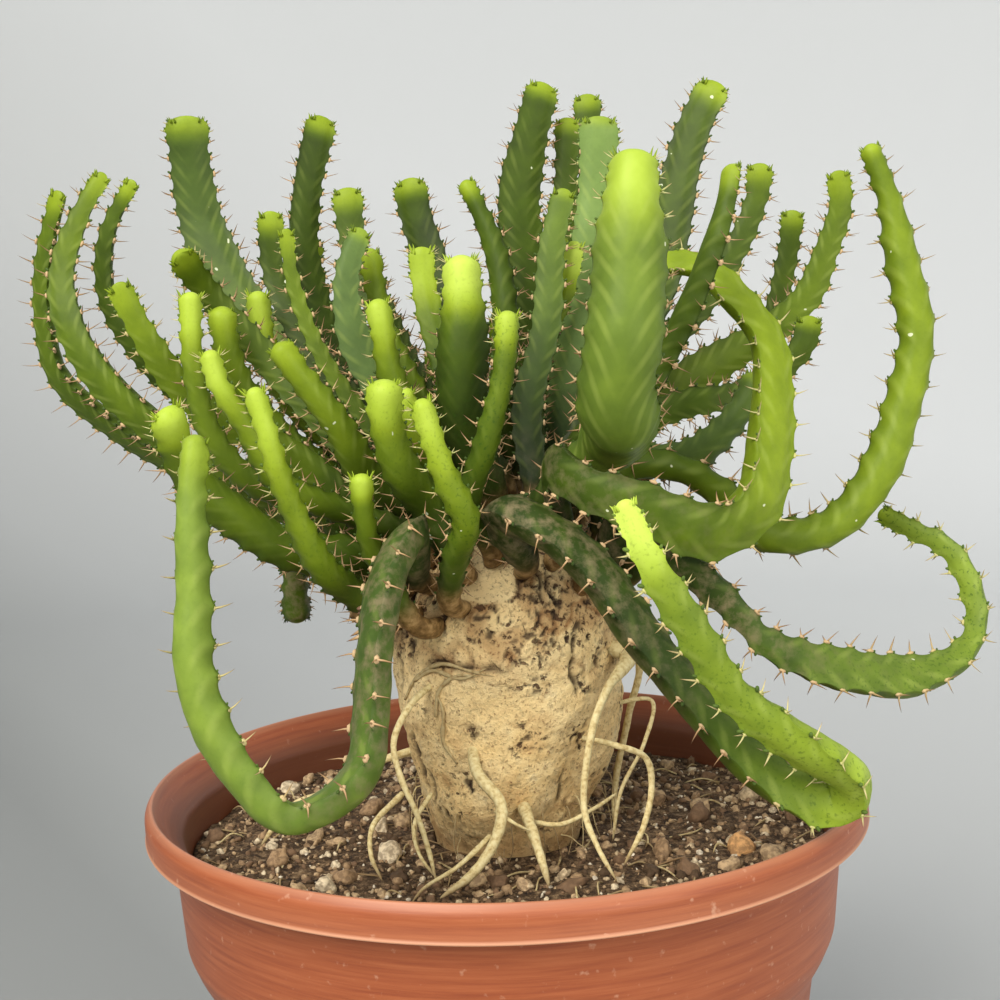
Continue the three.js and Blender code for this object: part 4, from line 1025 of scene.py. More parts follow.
crown = {
    "inset": 1.3, "tones": [0.7, 0.85, 0.95],
    # Leaves and pale spines of the growing point: place across and above, as shares of half a width
    "leaves": [(-1.05, 0.1), (-0.95, -0.25), (-0.8, 0.3), (-0.7, -0.35), (0.7, 0.35),
               (0.85, -0.3), (0.95, 0.25), (1.05, -0.1)],
    "spines": [(-1.0, 0.1), (-0.9, -0.9), (-0.8, 0.9), (0.8, 0.9), (0.9, -0.9), (1.0, -0.1)],
    "spineLength": (1.7, 2.5),
}
flowers = {"petals": 7, "spread": 0.9, "length": (0.8, 2.0), "width": (0.25, 0.5),
           "crumb": (0.3, 0.75)}
boxInside = np.array(cadBox) * 1000 + [[0.15], [-0.15]]  # spines stay within the solid model's box
smallBead = beadTemplate(6, 3)
flatBead = beadTemplate(6, 2)

# Each stem, with lists that run from neck to tip.
# seat: azimuth and angle from the top of the crown in degrees. path: what the middle passes.
# width: mm. twist: of the flat side in degrees. girth: how much thicker than most.
# dome: mm over which the tip closes. pitch: mm between teeth. buds: how large the leaf buds are.
# tone: 0 dark and old to 1 lime and new. glow: mm of new growth at the tip, with the tone peak.
# young: new and bright growth. bloom: how blue-green the wax is. wear: how corky the skin is.
# corky: mm of neck with bark on it. freckled: dark freckles. bars: strength of the pale bars.
# dryFlowers: where dried flowers hang, as shares of the length.
stems = [
    {"seat": (182, 50), "width": (6, 6.4, 6, 3.6), "twist": (-135, -135, -135, -115, -105),
     "tone": (0.35, 0.38, 0.4), "glow": 7, "path": [(-48, 2, 178), (-64, 6, 183), (-76, 9, 190),
     (-87, 10, 201), (-89, 10, 210), (-89, 10, 219), (-87, 9, 228), (-83, 7, 238)]},
    {"seat": (192, 60), "width": (7.5, 7.5, 7.2, 6.4, 3), "twist": (-135, -135, -125, -95, -75),
     "tone": (0.35, 0.4, 0.42), "glow": 7, "path": [(-37, -6, 175), (-50, -8, 182), (-63, -8, 191),
     (-74, -6, 201), (-80, -4, 212), (-81, -2, 221), (-77, -1, 232), (-72, 0, 240)]},
    {"seat": (172, 46), "width": (6, 6.3, 5.6, 3), "twist": (-135, -135, -120, -90, -80),
     "tone": (0.3, 0.28, 0.35), "glow": 7, "path": [(-41, 8, 184), (-59, 12, 194), (-72, 16, 206),
     (-79, 20, 218), (-78, 20, 230), (-71, 18, 241)]},
    {"seat": (196, 46), "width": (6.5, 7, 6.5, 4.5), "twist": (-100, -100),
     "tone": (0.38, 0.45, 0.55), "glow": 7, "path": [(-39, -6, 184), (-49, -9, 190),
     (-57, -12, 197), (-63, -16, 208), (-67, -18, 218)]},
    {"seat": (150, 44), "width": (7.5, 10.2, 10.8, 9), "twist": (-55, -55, -60, -55, -50),
     "tone": (0.4, 0.42, 0.3), "glow": 7, "bloom": 0.35, "path": [(-32, 16, 190), (-44, 26, 204),
     (-56, 34, 220), (-62, 38, 233), (-64, 38, 247), (-64, 36, 257)]},
    {"seat": (178, 36), "width": (6, 6.5, 5.5), "twist": (-80, -80), "tone": (0.3, 0.35, 0.4),
     "glow": 7, "path": [(-34, 2, 190), (-47, 4, 206), (-54, 0, 216), (-57, -10, 223)]},
    {"seat": (206, 52), "width": (5.5, 5, 3.8), "twist": (90, 90), "tone": (0.34, 0.38, 0.5),
     "glow": 14, "young": True, "path": [(-33, -14, 174), (-45, -18, 181), (-51, -20, 190),
     (-53, -21, 201), (-53, -20, 216)]},
    {"seat": (170, 30), "width": (6, 6.6, 5.2), "twist": (90, 80), "tone": (0.3, 0.35, 0.5),
     "glow": 7, "path": [(-38, 2, 186), (-47, 0, 197), (-50, -2, 206), (-51, -3, 215)]},
    {"seat": (214, 44), "width": (5.5, 5, 3.5), "twist": (85, 70), "tone": (0.34, 0.42, 0.59),
     "glow": 14, "young": True, "path": [(-30, -22, 174), (-38, -28, 180), (-43, -31, 191),
     (-47, -32, 199), (-48, -32, 205)]},
    {"seat": (222, 62), "width": (6, 5.2, 3.2), "twist": (70, 70, 50, 45, 45),
     "tone": (0.38, 0.46, 0.63), "glow": 18, "young": True, "corky": 12,
     "freckled": (0.9, 0.4, 0.1), "path": [(-26, -26, 163), (-30, -34, 168), (-35, -41, 182),
     (-37, -43, 191), (-39, -43, 199)]},
    {"seat": (158, 26), "width": (5, 5.2, 4.6), "twist": (90, 90), "tone": (0.34, 0.46, 0.63),
     "glow": 14, "young": True, "path": [(-34, 8, 187), (-43, 8, 198), (-46, 7, 209),
     (-46, 6, 217)]},
    {"seat": (206, 32), "width": (7, 7, 4.5), "twist": (55, 55, 40, 45, 45),
     "tone": (0.35, 0.45, 0.55), "glow": 7, "path": [(-23, -12, 178), (-28, -20, 190),
     (-35, -24, 201), (-38, -25, 206)]},
    {"seat": (204, 70), "width": (7, 8, 7.5, 6), "twist": (75, 75, 115, 105, 95),
     "tone": (0.29, 0.35, 0.46), "glow": 9, "young": True, "corky": 12, "path": [(-23, -18, 167),
     (-35, -25, 170), (-44, -30, 176), (-51, -36, 184), (-53, -44, 196)]},
    {"seat": (160, 74), "width": (6, 7, 6.2), "twist": (0, 20), "tone": (0.22, 0.3, 0.3), "glow": 1,
     "wear": (0.6, 1), "path": [(-35, 22, 171), (-43, 30, 164), (-45, 33, 152), (-45, 34, 144)]},
    {"seat": (226, 56), "width": (6.5, 7.6, 7.6, 7.2, 6.6, 4), "twist": (45, 45, 50, 105, 120),
     "girth": 1.3, "tone": (0.3, 0.28, 0.3, 0.36, 0.48, 0.56, 0.55, 0.54), "glow": 12, "bloom": 0.4,
     "wear": (1, 1, 1, 0.8, 0.1, 0, 0, 0), "pitch": 5.7, "dryFlowers": (0.22, 0.25, 0.28, 0.31),
     "path": [(-15, -30, 174), (-19, -41, 167), (-21, -47, 156), (-22, -50, 145), (-23, -54, 138),
     (-27, -57, 134), (-34, -59, 132), (-39, -60, 137), (-44, -60, 145), (-47, -60, 155),
     (-47, -58, 167), (-47, -56, 181), (-46, -54, 192)]},
    {"seat": (140, 32), "width": (7, 7.6, 7.4, 6.4), "twist": (-20, -20, -25, -20, -30),
     "tone": (0.25, 0.25, 0.27), "glow": 6, "path": [(-22, 14, 190), (-34, 22, 207), (-39, 27, 223),
     (-38, 30, 239), (-34, 32, 255)]},
    {"seat": (160, 16), "width": (5.5, 6, 5.2), "twist": (-80, -60), "tone": (0.25, 0.27, 0.3),
     "glow": 7, "path": [(-24, 8, 190), (-38, 14, 207), (-44, 18, 221), (-44, 18, 234)]},
    {"seat": (176, 20), "width": (4, 4, 3), "twist": (-75, -75), "tone": (0.3, 0.4, 0.5), "glow": 7,
     "path": [(-22, 2, 188), (-33, 3, 204), (-38, 4, 218), (-39, 4, 229)]},
    {"seat": (120, 44), "width": (5, 5, 4), "twist": (-55, -45), "tone": (0.3, 0.35, 0.45),
     "glow": 7, "path": [(-24, 28, 187), (-34, 36, 207), (-38, 38, 221), (-38, 38, 230)]},
    {"seat": (118, 24), "width": (6, 7, 6), "twist": (-60, -60), "tone": (0.25, 0.3, 0.32),
     "glow": 7, "path": [(-13, 14, 190), (-22, 20, 210), (-28, 24, 227), (-29, 25, 239)]},
    {"seat": (200, 14), "width": (6, 7.6, 7, 4), "twist": (-80, -80, -75, -75, -65),
     "tone": (0.35, 0.4, 0.45), "glow": 4, "bloom": 0.8, "path": [(-17, -2, 188), (-26, 0, 203),
     (-28, 1, 214), (-27, 2, 221), (-24, 4, 228)]},
    {"seat": (110, 10), "width": (5, 5.4, 4.5), "twist": (75, 75), "tone": (0.35, 0.4, 0.5),
     "glow": 7, "path": [(-13, 6, 190), (-21, 8, 208), (-23, 10, 218), (-24, 10, 225)]},
    {"seat": (218, 22), "width": (5.2, 5.6, 4.4), "twist": (85, 85), "tone": (0.34, 0.42, 0.55),
     "glow": 12, "young": True, "path": [(-14, -8, 187), (-19, -10, 200), (-20, -11, 208),
     (-21, -11, 214)]},
    {"seat": (238, 46), "width": (6.5, 7.2, 6), "twist": (45, 45, 50, 40, 35),
     "tone": (0.34, 0.4, 0.5), "glow": 12, "young": True, "freckled": (0.6, 0.3),
     "path": [(-12, -22, 172), (-17, -30, 181), (-19, -33, 190), (-19, -34, 198)]},
    {"seat": (226, 68), "width": (4, 4.2, 3.8), "twist": (55, 45), "tone": (0.38, 0.46, 0.5),
     "glow": 6, "young": True, "corky": 10, "path": [(-20, -28, 169), (-21, -31, 176),
     (-21, -33, 184)]},
    {"seat": (98, 26), "width": (8, 9.2, 8.6, 7), "twist": (-55, -55), "tone": (0.22, 0.22, 0.24),
     "glow": 6, "path": [(-4, 14, 189), (-9, 22, 209), (-12, 26, 222), (-15, 28, 233),
     (-16, 28, 241)]},
    {"seat": (150, 6), "width": (6, 6.2, 5), "twist": (-55, -45), "tone": (0.25, 0.34, 0.55),
     "glow": 16, "young": True, "path": [(-5, 4, 190), (-11, 8, 208), (-13, 10, 218),
     (-13, 10, 225)]},
    {"seat": (250, 22), "width": (8, 9, 9.6, 6.4), "twist": (40, 30), "tone": (0.18, 0.2, 0.35),
     "glow": 15, "young": True, "freckled": (1, 0.8, 0.4, 0.1), "peak": 0.94,
     "path": [(-5, -14, 184), (-6, -17, 194), (-5, -18, 209), (-5, -17, 221)]},
    {"seat": (244, 62), "width": (4.8, 5, 5, 3.8), "twist": (10, 10, 10, 30, 30),
     "tone": (0.42, 0.46, 0.59), "glow": 16, "young": True, "corky": 10, "freckled": (1, 0.9, 0.3),
     "path": [(-7, -33, 168), (-5, -38, 174), (-8, -41, 182), (-12, -43, 196)]},
    {"seat": (262, 46), "width": (5, 4.8, 4), "twist": (40, 40, 20, 25, 20),
     "tone": (0.38, 0.38, 0.4), "glow": 9, "young": True, "freckled": (1, 1, 0.6),
     "path": [(-4, -24, 173), (0, -30, 187), (3, -31, 199), (4, -30, 210)]},
    {"seat": (70, 12), "width": (5.5, 6, 5.6, 3.6), "twist": (0, -10), "tone": (0.3, 0.28, 0.3),
     "glow": 6, "path": [(5, 0, 193), (5, 2, 209), (3, 4, 221), (0, 5, 229), (-4, 6, 237)]},
    {"seat": (228, 34), "width": (4.5, 4.5, 3.5), "twist": (55, 55, 60, 50, 45),
     "tone": (0.42, 0.5, 0.59), "glow": 8, "young": True, "path": [(-10, -14, 181), (-14, -20, 189),
     (-15, -22, 198)]},
    {"seat": (52, 16), "width": (8, 9.8, 10, 7), "twist": (35, 35), "tone": (0.28, 0.3, 0.3),
     "glow": 5, "path": [(11, 12, 193), (11, 18, 213), (8, 24, 233), (11, 26, 249), (14, 27, 259)]},
    {"seat": (70, 30), "width": (6, 6, 5.5), "twist": (20, 20), "tone": (0.3, 0.32, 0.35),
     "glow": 5, "path": [(10, 18, 193), (14, 24, 213), (16, 28, 234), (17, 30, 253)]},
    {"seat": (60, 42), "width": (6, 6.8, 6), "twist": (20, 20), "tone": (0.25, 0.28, 0.32),
     "glow": 5, "path": [(12, 26, 192), (18, 36, 214), (23, 42, 238), (23, 44, 260)]},
    {"seat": (20, 22), "width": (7, 8.8, 9, 8), "twist": (65, 65), "tone": (0.42, 0.52, 0.62),
     "glow": 3, "bloom": 0.9, "path": [(12, 8, 193), (18, 12, 213), (22, 15, 235), (23, 15, 250)]},
    {"seat": (350, 10), "width": (5.5, 6.4, 6.2, 4.5), "twist": (40, 40),
     "tone": (0.16, 0.22, 0.4, 0.48), "glow": 3, "bloom": 0.35, "path": [(6, -2, 191), (10, 0, 207),
     (12, 1, 223), (15, 1, 234)]},
    {"seat": (10, 8), "width": (4, 4, 3.6), "twist": (10, 10), "tone": (0.34, 0.42, 0.59),
     "glow": 12, "young": True, "peak": 0.95, "path": [(9, 4, 197), (16, 5, 214), (18, 4, 224)]},
    {"seat": (312, 30), "width": (6, 7, 12.4, 13.2, 13, 11.6, 7), "twist": (-50, -50, 0, -10, -10),
     "bars": 1.2, "dome": 1.7, "tone": (0.5, 0.48, 0.45, 0.45, 0.5), "glow": 18, "bloom": 0.3,
     "young": True, "pitch": 4.4, "freckled": (0,), "peak": 0.78, "path": [(17, -26, 181),
     (18, -41, 186), (18, -46, 192), (20, -49, 201), (22, -48, 214), (23, -47, 225),
     (24, -45, 234)]},
    {"seat": (340, 26), "width": (7.5, 9, 9, 7), "twist": (45, 45), "tone": (0.24, 0.25, 0.3),
     "glow": 7, "path": [(21, 4, 189), (33, 8, 214), (38, 10, 234), (42, 11, 246), (47, 11, 255)]},
    {"seat": (316, 30), "width": (6.5, 7.2, 7, 4.8), "twist": (-140, -140),
     "tone": (0.25, 0.28, 0.35), "glow": 7, "path": [(16, -16, 182), (26, -22, 189), (33, -25, 202),
     (39, -27, 217), (42, -27, 227), (43, -26, 234)]},
    {"seat": (8, 26), "width": (5.5, 6, 6, 5), "twist": (45, 45, 55, 50, 45),
     "tone": (0.28, 0.3, 0.35), "glow": 6, "path": [(19, 8, 189), (38, 13, 205), (50, 16, 221),
     (55, 17, 232), (56, 17, 240)]},
    {"seat": (300, 48), "width": (6.5, 7.6, 8.4, 10, 10.4, 8.6, 6.8, 5),
     "twist": (60, 60, 50, 30, 10), "girth": 1.1,
     "tone": (0.22, 0.22, 0.28, 0.42, 0.62, 0.62, 0.58, 0.6), "glow": 6, "pitch": 5.7,
     "freckled": (0.1,), "wear": (0.9, 0.6, 0.2, 0, 0, 0), "path": [(11, -30, 184), (17, -36, 182),
     (24, -39, 179), (32, -39, 174), (38, -36, 172), (45, -33, 176), (48, -28, 184), (50, -22, 193),
     (50, -18, 203), (45, -15, 211), (39, -12, 217), (35, -10, 218), (29, -9, 217)]},
    {"seat": (24, 42), "width": (7, 9.4, 9.4, 7.6, 6, 5), "twist": (70, 70, 80, 70, 70),
     "tone": (0.42, 0.48, 0.44, 0.44), "glow": 7, "path": [(22, 12, 188), (34, 16, 195),
     (45, 20, 200), (56, 22, 205), (66, 24, 212), (71, 25, 222), (74, 25, 231), (73, 24, 239)]},
    {"seat": (35, 44), "width": (5.5, 6, 5.8, 5), "twist": (50, 50, 70, 55, 50),
     "tone": (0.28, 0.3, 0.38), "glow": 5, "path": [(22, 24, 186), (43, 34, 195), (61, 40, 206),
     (66, 42, 220), (68, 42, 233)]},
    {"seat": (352, 36), "width": (6, 6.6, 6, 5), "twist": (80, 80, 100, 95, 85),
     "tone": (0.28, 0.32, 0.34), "glow": 4, "path": [(19, 2, 185), (35, 6, 192), (47, 9, 193),
     (57, 12, 197), (63, 12, 203), (64, 12, 209)]},
    {"seat": (338, 46), "width": (6.5, 7.2, 5.5), "twist": (-85, -95), "tone": (0.3, 0.36, 0.36),
     "glow": 4, "bloom": 0.5, "path": [(20, -8, 180), (37, -8, 183), (47, -6, 191), (51, -5, 198)]},
    {"seat": (330, 58), "width": (8, 7.4, 6, 7.4, 8.2, 7.6, 6.8, 3.4),
     "twist": (-35, -35, -75, -90, -95), "tone": (0.3, 0.34, 0.46, 0.54, 0.52, 0.46), "glow": 4,
     "pitch": 5.7, "path": [(19, -18, 183), (31, -18, 182), (40, -17, 176), (47, -17, 169),
     (55, -15, 167), (64, -12, 169), (72, -11, 178), (77, -9, 190), (80, -8, 203), (78, -6, 217),
     (76, -5, 228), (72, -4, 240)]},
    {"seat": (318, 60), "width": (6.5, 7.2, 7.2, 4.8, 8.4, 8.6, 4.8, 4.6, 3.8),
     "twist": (85, 85, 20, -30, -40), "girth": 1.3, "tone": (0.2, 0.2, 0.24, 0.46, 0.48, 0.58, 0.6),
     "glow": 4, "bloom": 0.25, "wear": (1, 1, 1, 0.2, 0.1, 0, 0), "pitch": 5.7,
     "freckled": (0.3, 0.3, 0.3, 0.6, 0.8, 0.9, 0.9), "path": [(25, -27, 174), (32, -31, 166),
     (40, -31, 158), (46, -31, 151), (53, -29, 147), (61, -26, 144), (74, -20, 141), (85, -15, 143),
     (90, -11, 148), (90, -8, 155), (87, -4, 162), (82, 0, 165), (75, 4, 169)]},
    {"seat": (282, 50), "width": (7.5, 8, 8, 8, 8, 8.4, 7.6, 6.6, 6.2, 3.8),
     "twist": (5, 5, 10, 125, 125), "girth": 1.4,
     "tone": (0.22, 0.2, 0.2, 0.22, 0.42, 0.76, 0.6, 0.52, 0.6), "glow": 17, "bloom": 0.15,
     "wear": (1, 1, 0.8, 0.3, 0, 0, 0, 0, 0), "pitch": 5.7,
     "freckled": (0, 0, 0, 0.2, 0.7, 0.7, 0.5, 0.3), "buds": 1.45, "peak": 1,
     "path": [(3, -28, 179), (11, -34, 176), (18, -37, 168), (25, -40, 155), (32, -42, 145),
     (40, -44, 135), (47, -46, 129), (54, -47, 126), (56, -50, 130), (51, -54, 135), (45, -56, 140),
     (36, -58, 148), (30, -60, 158), (23, -61, 170), (19, -60, 180)]},
    {"seat": (128, 60), "width": (7, 7, 5), "twist": (0, 0), "tone": (0.35, 0.35, 0.4), "glow": 7,
     "path": [(-15, 36, 171), (-29, 56, 184), (-37, 66, 200), (-34, 68, 212)]},
    {"seat": (108, 66), "width": (7, 7, 5), "twist": (0, 0), "tone": (0.3, 0.35, 0.4), "glow": 7,
     "path": [(-6, 40, 168), (-13, 60, 176), (-16, 72, 192), (-13, 74, 207)]},
    {"seat": (88, 56), "width": (7, 7, 5), "twist": (0, 0), "tone": (0.35, 0.35, 0.4), "glow": 6,
     "path": [(1, 36, 171), (1, 56, 183), (2, 62, 199), (2, 60, 213)]},
    {"seat": (68, 66), "width": (7, 7, 5), "twist": (0, 0), "tone": (0.3, 0.35, 0.45), "glow": 7,
     "path": [(7, 38, 168), (15, 60, 170), (21, 76, 181), (21, 80, 198)]},
    {"seat": (45, 62), "width": (7, 7, 5), "twist": (0, 0), "tone": (0.3, 0.35, 0.4), "glow": 7,
     "path": [(14, 30, 171), (24, 46, 176), (30, 56, 186), (29, 58, 203)]},
    {"seat": (140, 70), "width": (6, 6, 4.5), "twist": (0, 0), "tone": (0.35, 0.4, 0.45), "glow": 7,
     "path": [(-21, 30, 168), (-38, 46, 171), (-53, 58, 180), (-58, 62, 194)]},
]


def spreadSeats():  # seats that are closer than the spacing slide apart over the crown
    radius, rise = caudex["radius"], caudex["rise"]
    places = [list(crownPoint(*stem["seat"]) - caudex["centre"]) for stem in stems]
    for _ in range(stemLayout["seatRounds"]):
        crowded = False
        for first, one in enumerate(places):
            for other in places[first + 1:]:
                distance = math.dist(one, other)
                short = stemLayout["seatSpacing"] - distance
                if short <= 0:
                    continue
                crowded = True
                for axis in range(3):
                    step = (one[axis] - other[axis]) / distance * short * 0.3
                    one[axis] += step
                    other[axis] -= step
        for place in places:
            place[2] = max(place[2], rise * stemLayout["lowestSeat"])
            stretch = math.hypot(place[0] / radius, place[1] / radius, place[2] / rise)
            place[:] = [value / stretch for value in place]
        if not crowded:
            break
    return [(math.degrees(math.atan2(y, x)), math.degrees(math.acos(min(1, max(-1, z / rise)))))
            for x, y, z in places]


def stemWidth(stem, distance, length):
    grown = smooth(distance, 1, stemLayout["neckLength"])
    return between(stemLayout["neckWidth"], along(stem["width"], distance / length), grown)


def stemLines():  # the middle of each stem, leaned apart where stems crowd
    gap, neckLength = stemLayout["clearance"], stemLayout["neckLength"]
    rest, room, freedom = [], [], []
    for stem, seat in zip(stems, spreadSeats()):
        path = np.array([crownPoint(*seat, gap), crownPoint(*seat, gap + 5), *stem["path"]])
        length = lengthOf(path)
        count = math.ceil(length / stemLayout["sampleStep"])
        distance = np.arange(count + 1) * length / count
        rest.append(evenly(path, np.arange(count + 1) / count)[0])
        spare = np.where(distance > neckLength, *stemLayout["spare"])
        room.append(stemWidth(stem, distance, length) * 0.5 + spare)
        freedom.append(smooth(distance, 2, neckLength))
    sizes = [len(points) for points in rest]
    owner = np.repeat(np.arange(len(rest)), sizes)
    rest, room, freedom = np.vstack(rest), np.concatenate(room), np.concatenate(freedom)
    first, second = nearPairs(rest, owner, stemLayout["pairReach"])
    need = room[first] + room[second] + gap
    ends = np.cumsum(sizes)
    starts = ends - sizes
    places = np.arange(len(rest))
    before = np.maximum(places - 1, np.repeat(starts, sizes))
    after = np.minimum(places + 1, np.repeat(ends - 1, sizes))
    points = rest.copy()
    for _ in range(stemLayout["spreadRounds"]):
        push = np.zeros_like(points)
        apart = points[first] - points[second]
        distance = np.linalg.norm(apart, axis=1)
        close = distance < need
        step = apart[close] * ((need - distance)[close] * 0.5 / distance[close])[:, None]
        np.add.at(push, first[close], step)
        np.add.at(push, second[close], -step)
        push += pushFromRim(points, room, gap) + pushFromCrown(points, room, gap)
        moved = points - rest + push * freedom[:, None]
        eased = (2 * moved + moved[before] + moved[after]) / 4
        points = rest + eased * (freedom > 0)[:, None]
    return [points[a:b] for a, b in zip(starts, ends)], (points, room, owner)


def nearPairs(points, owner, reach):  # pairs of samples of different stems
    firsts, seconds = [], []
    for i in range(len(points)):
        near = np.linalg.norm(points[i + 1:] - points[i], axis=1) < reach
        found = np.nonzero(near & (owner[i + 1:] != owner[i]))[0] + i + 1
        firsts.append(np.full(len(found), i))
        seconds.append(found)
    return np.concatenate(firsts), np.concatenate(seconds)


def pushFromRim(points, room, gap):
    scale = stemLayout["rimRadius"] / np.hypot(points[:, 0], points[:, 1])
    height = np.full(len(points), stemLayout["rimHeight"])
    apart = points - np.column_stack([points[:, :2] * scale[:, None], height])
    short = room + stemLayout["rimRoom"] + gap - np.linalg.norm(apart, axis=1)
    return unit(apart) * np.maximum(short, 0)[:, None]


def pushFromCrown(points, room, gap):
    apart = points - caudex["centre"]
    apart[:, 2] = np.maximum(apart[:, 2], 0) * caudex["radius"] / caudex["rise"]
    short = caudex["radius"] + room + gap + stemLayout["crownRoom"] - np.linalg.norm(apart, axis=1)
    return unit(apart) * np.maximum(short, 0)[:, None]


def toothPlaces(length, offset, pitch, draw):  # teeth crowd towards the growing tip
    places = []
    place = stemLayout["toothFirst"] + offset * pitch
    while place < length - 1.0:
        places.append(place)
        left = length - place
        crowding = min(1.0, max(0.42, left / (2.4 * pitch)))
        place += pitch * crowding * draw.uniform(0.93, 1.07)
    return np.array(places)


def stemFrame(points, twist, distances):
    length = lengthOf(points)
    origins, _ = evenly(points, distances / length)
    middle, _ = evenly(points, np.array([0.0, 0.5]))
    outward = unit((middle[1] - middle[0]) * [1, 1, 0])
    heading, side = carried(origins, np.cross([0, 0, 1], outward))
    angle = np.radians(along(twist, distances / length))[:, None]
    across = side * np.cos(angle) + np.cross(heading, side) * np.sin(angle)
    return origins, heading, across, np.cross(heading, across)


def toothWaves(teeth, pitch, distances, slanted, hands):
    # How near each ring is to a tooth of either edge, and the phase of the slanting ribs
    bump = np.zeros((2, len(distances)))
    phases = np.zeros_like(slanted)
    for hand, places in enumerate(teeth):
        gaps = np.abs(distances[:, None] - places).min(axis=1)
        bump[hand] = np.exp(-(gaps / (0.2 * pitch)) ** 2)
        marks = np.concatenate([[places[0] - pitch], places, [places[-1] + 2]])
        phase = np.interp(slanted, marks, np.arange(len(marks))) - section["ribShift"]
        phases = np.where(hands == hand, phase, phases)
    return bump[hands].T, phases


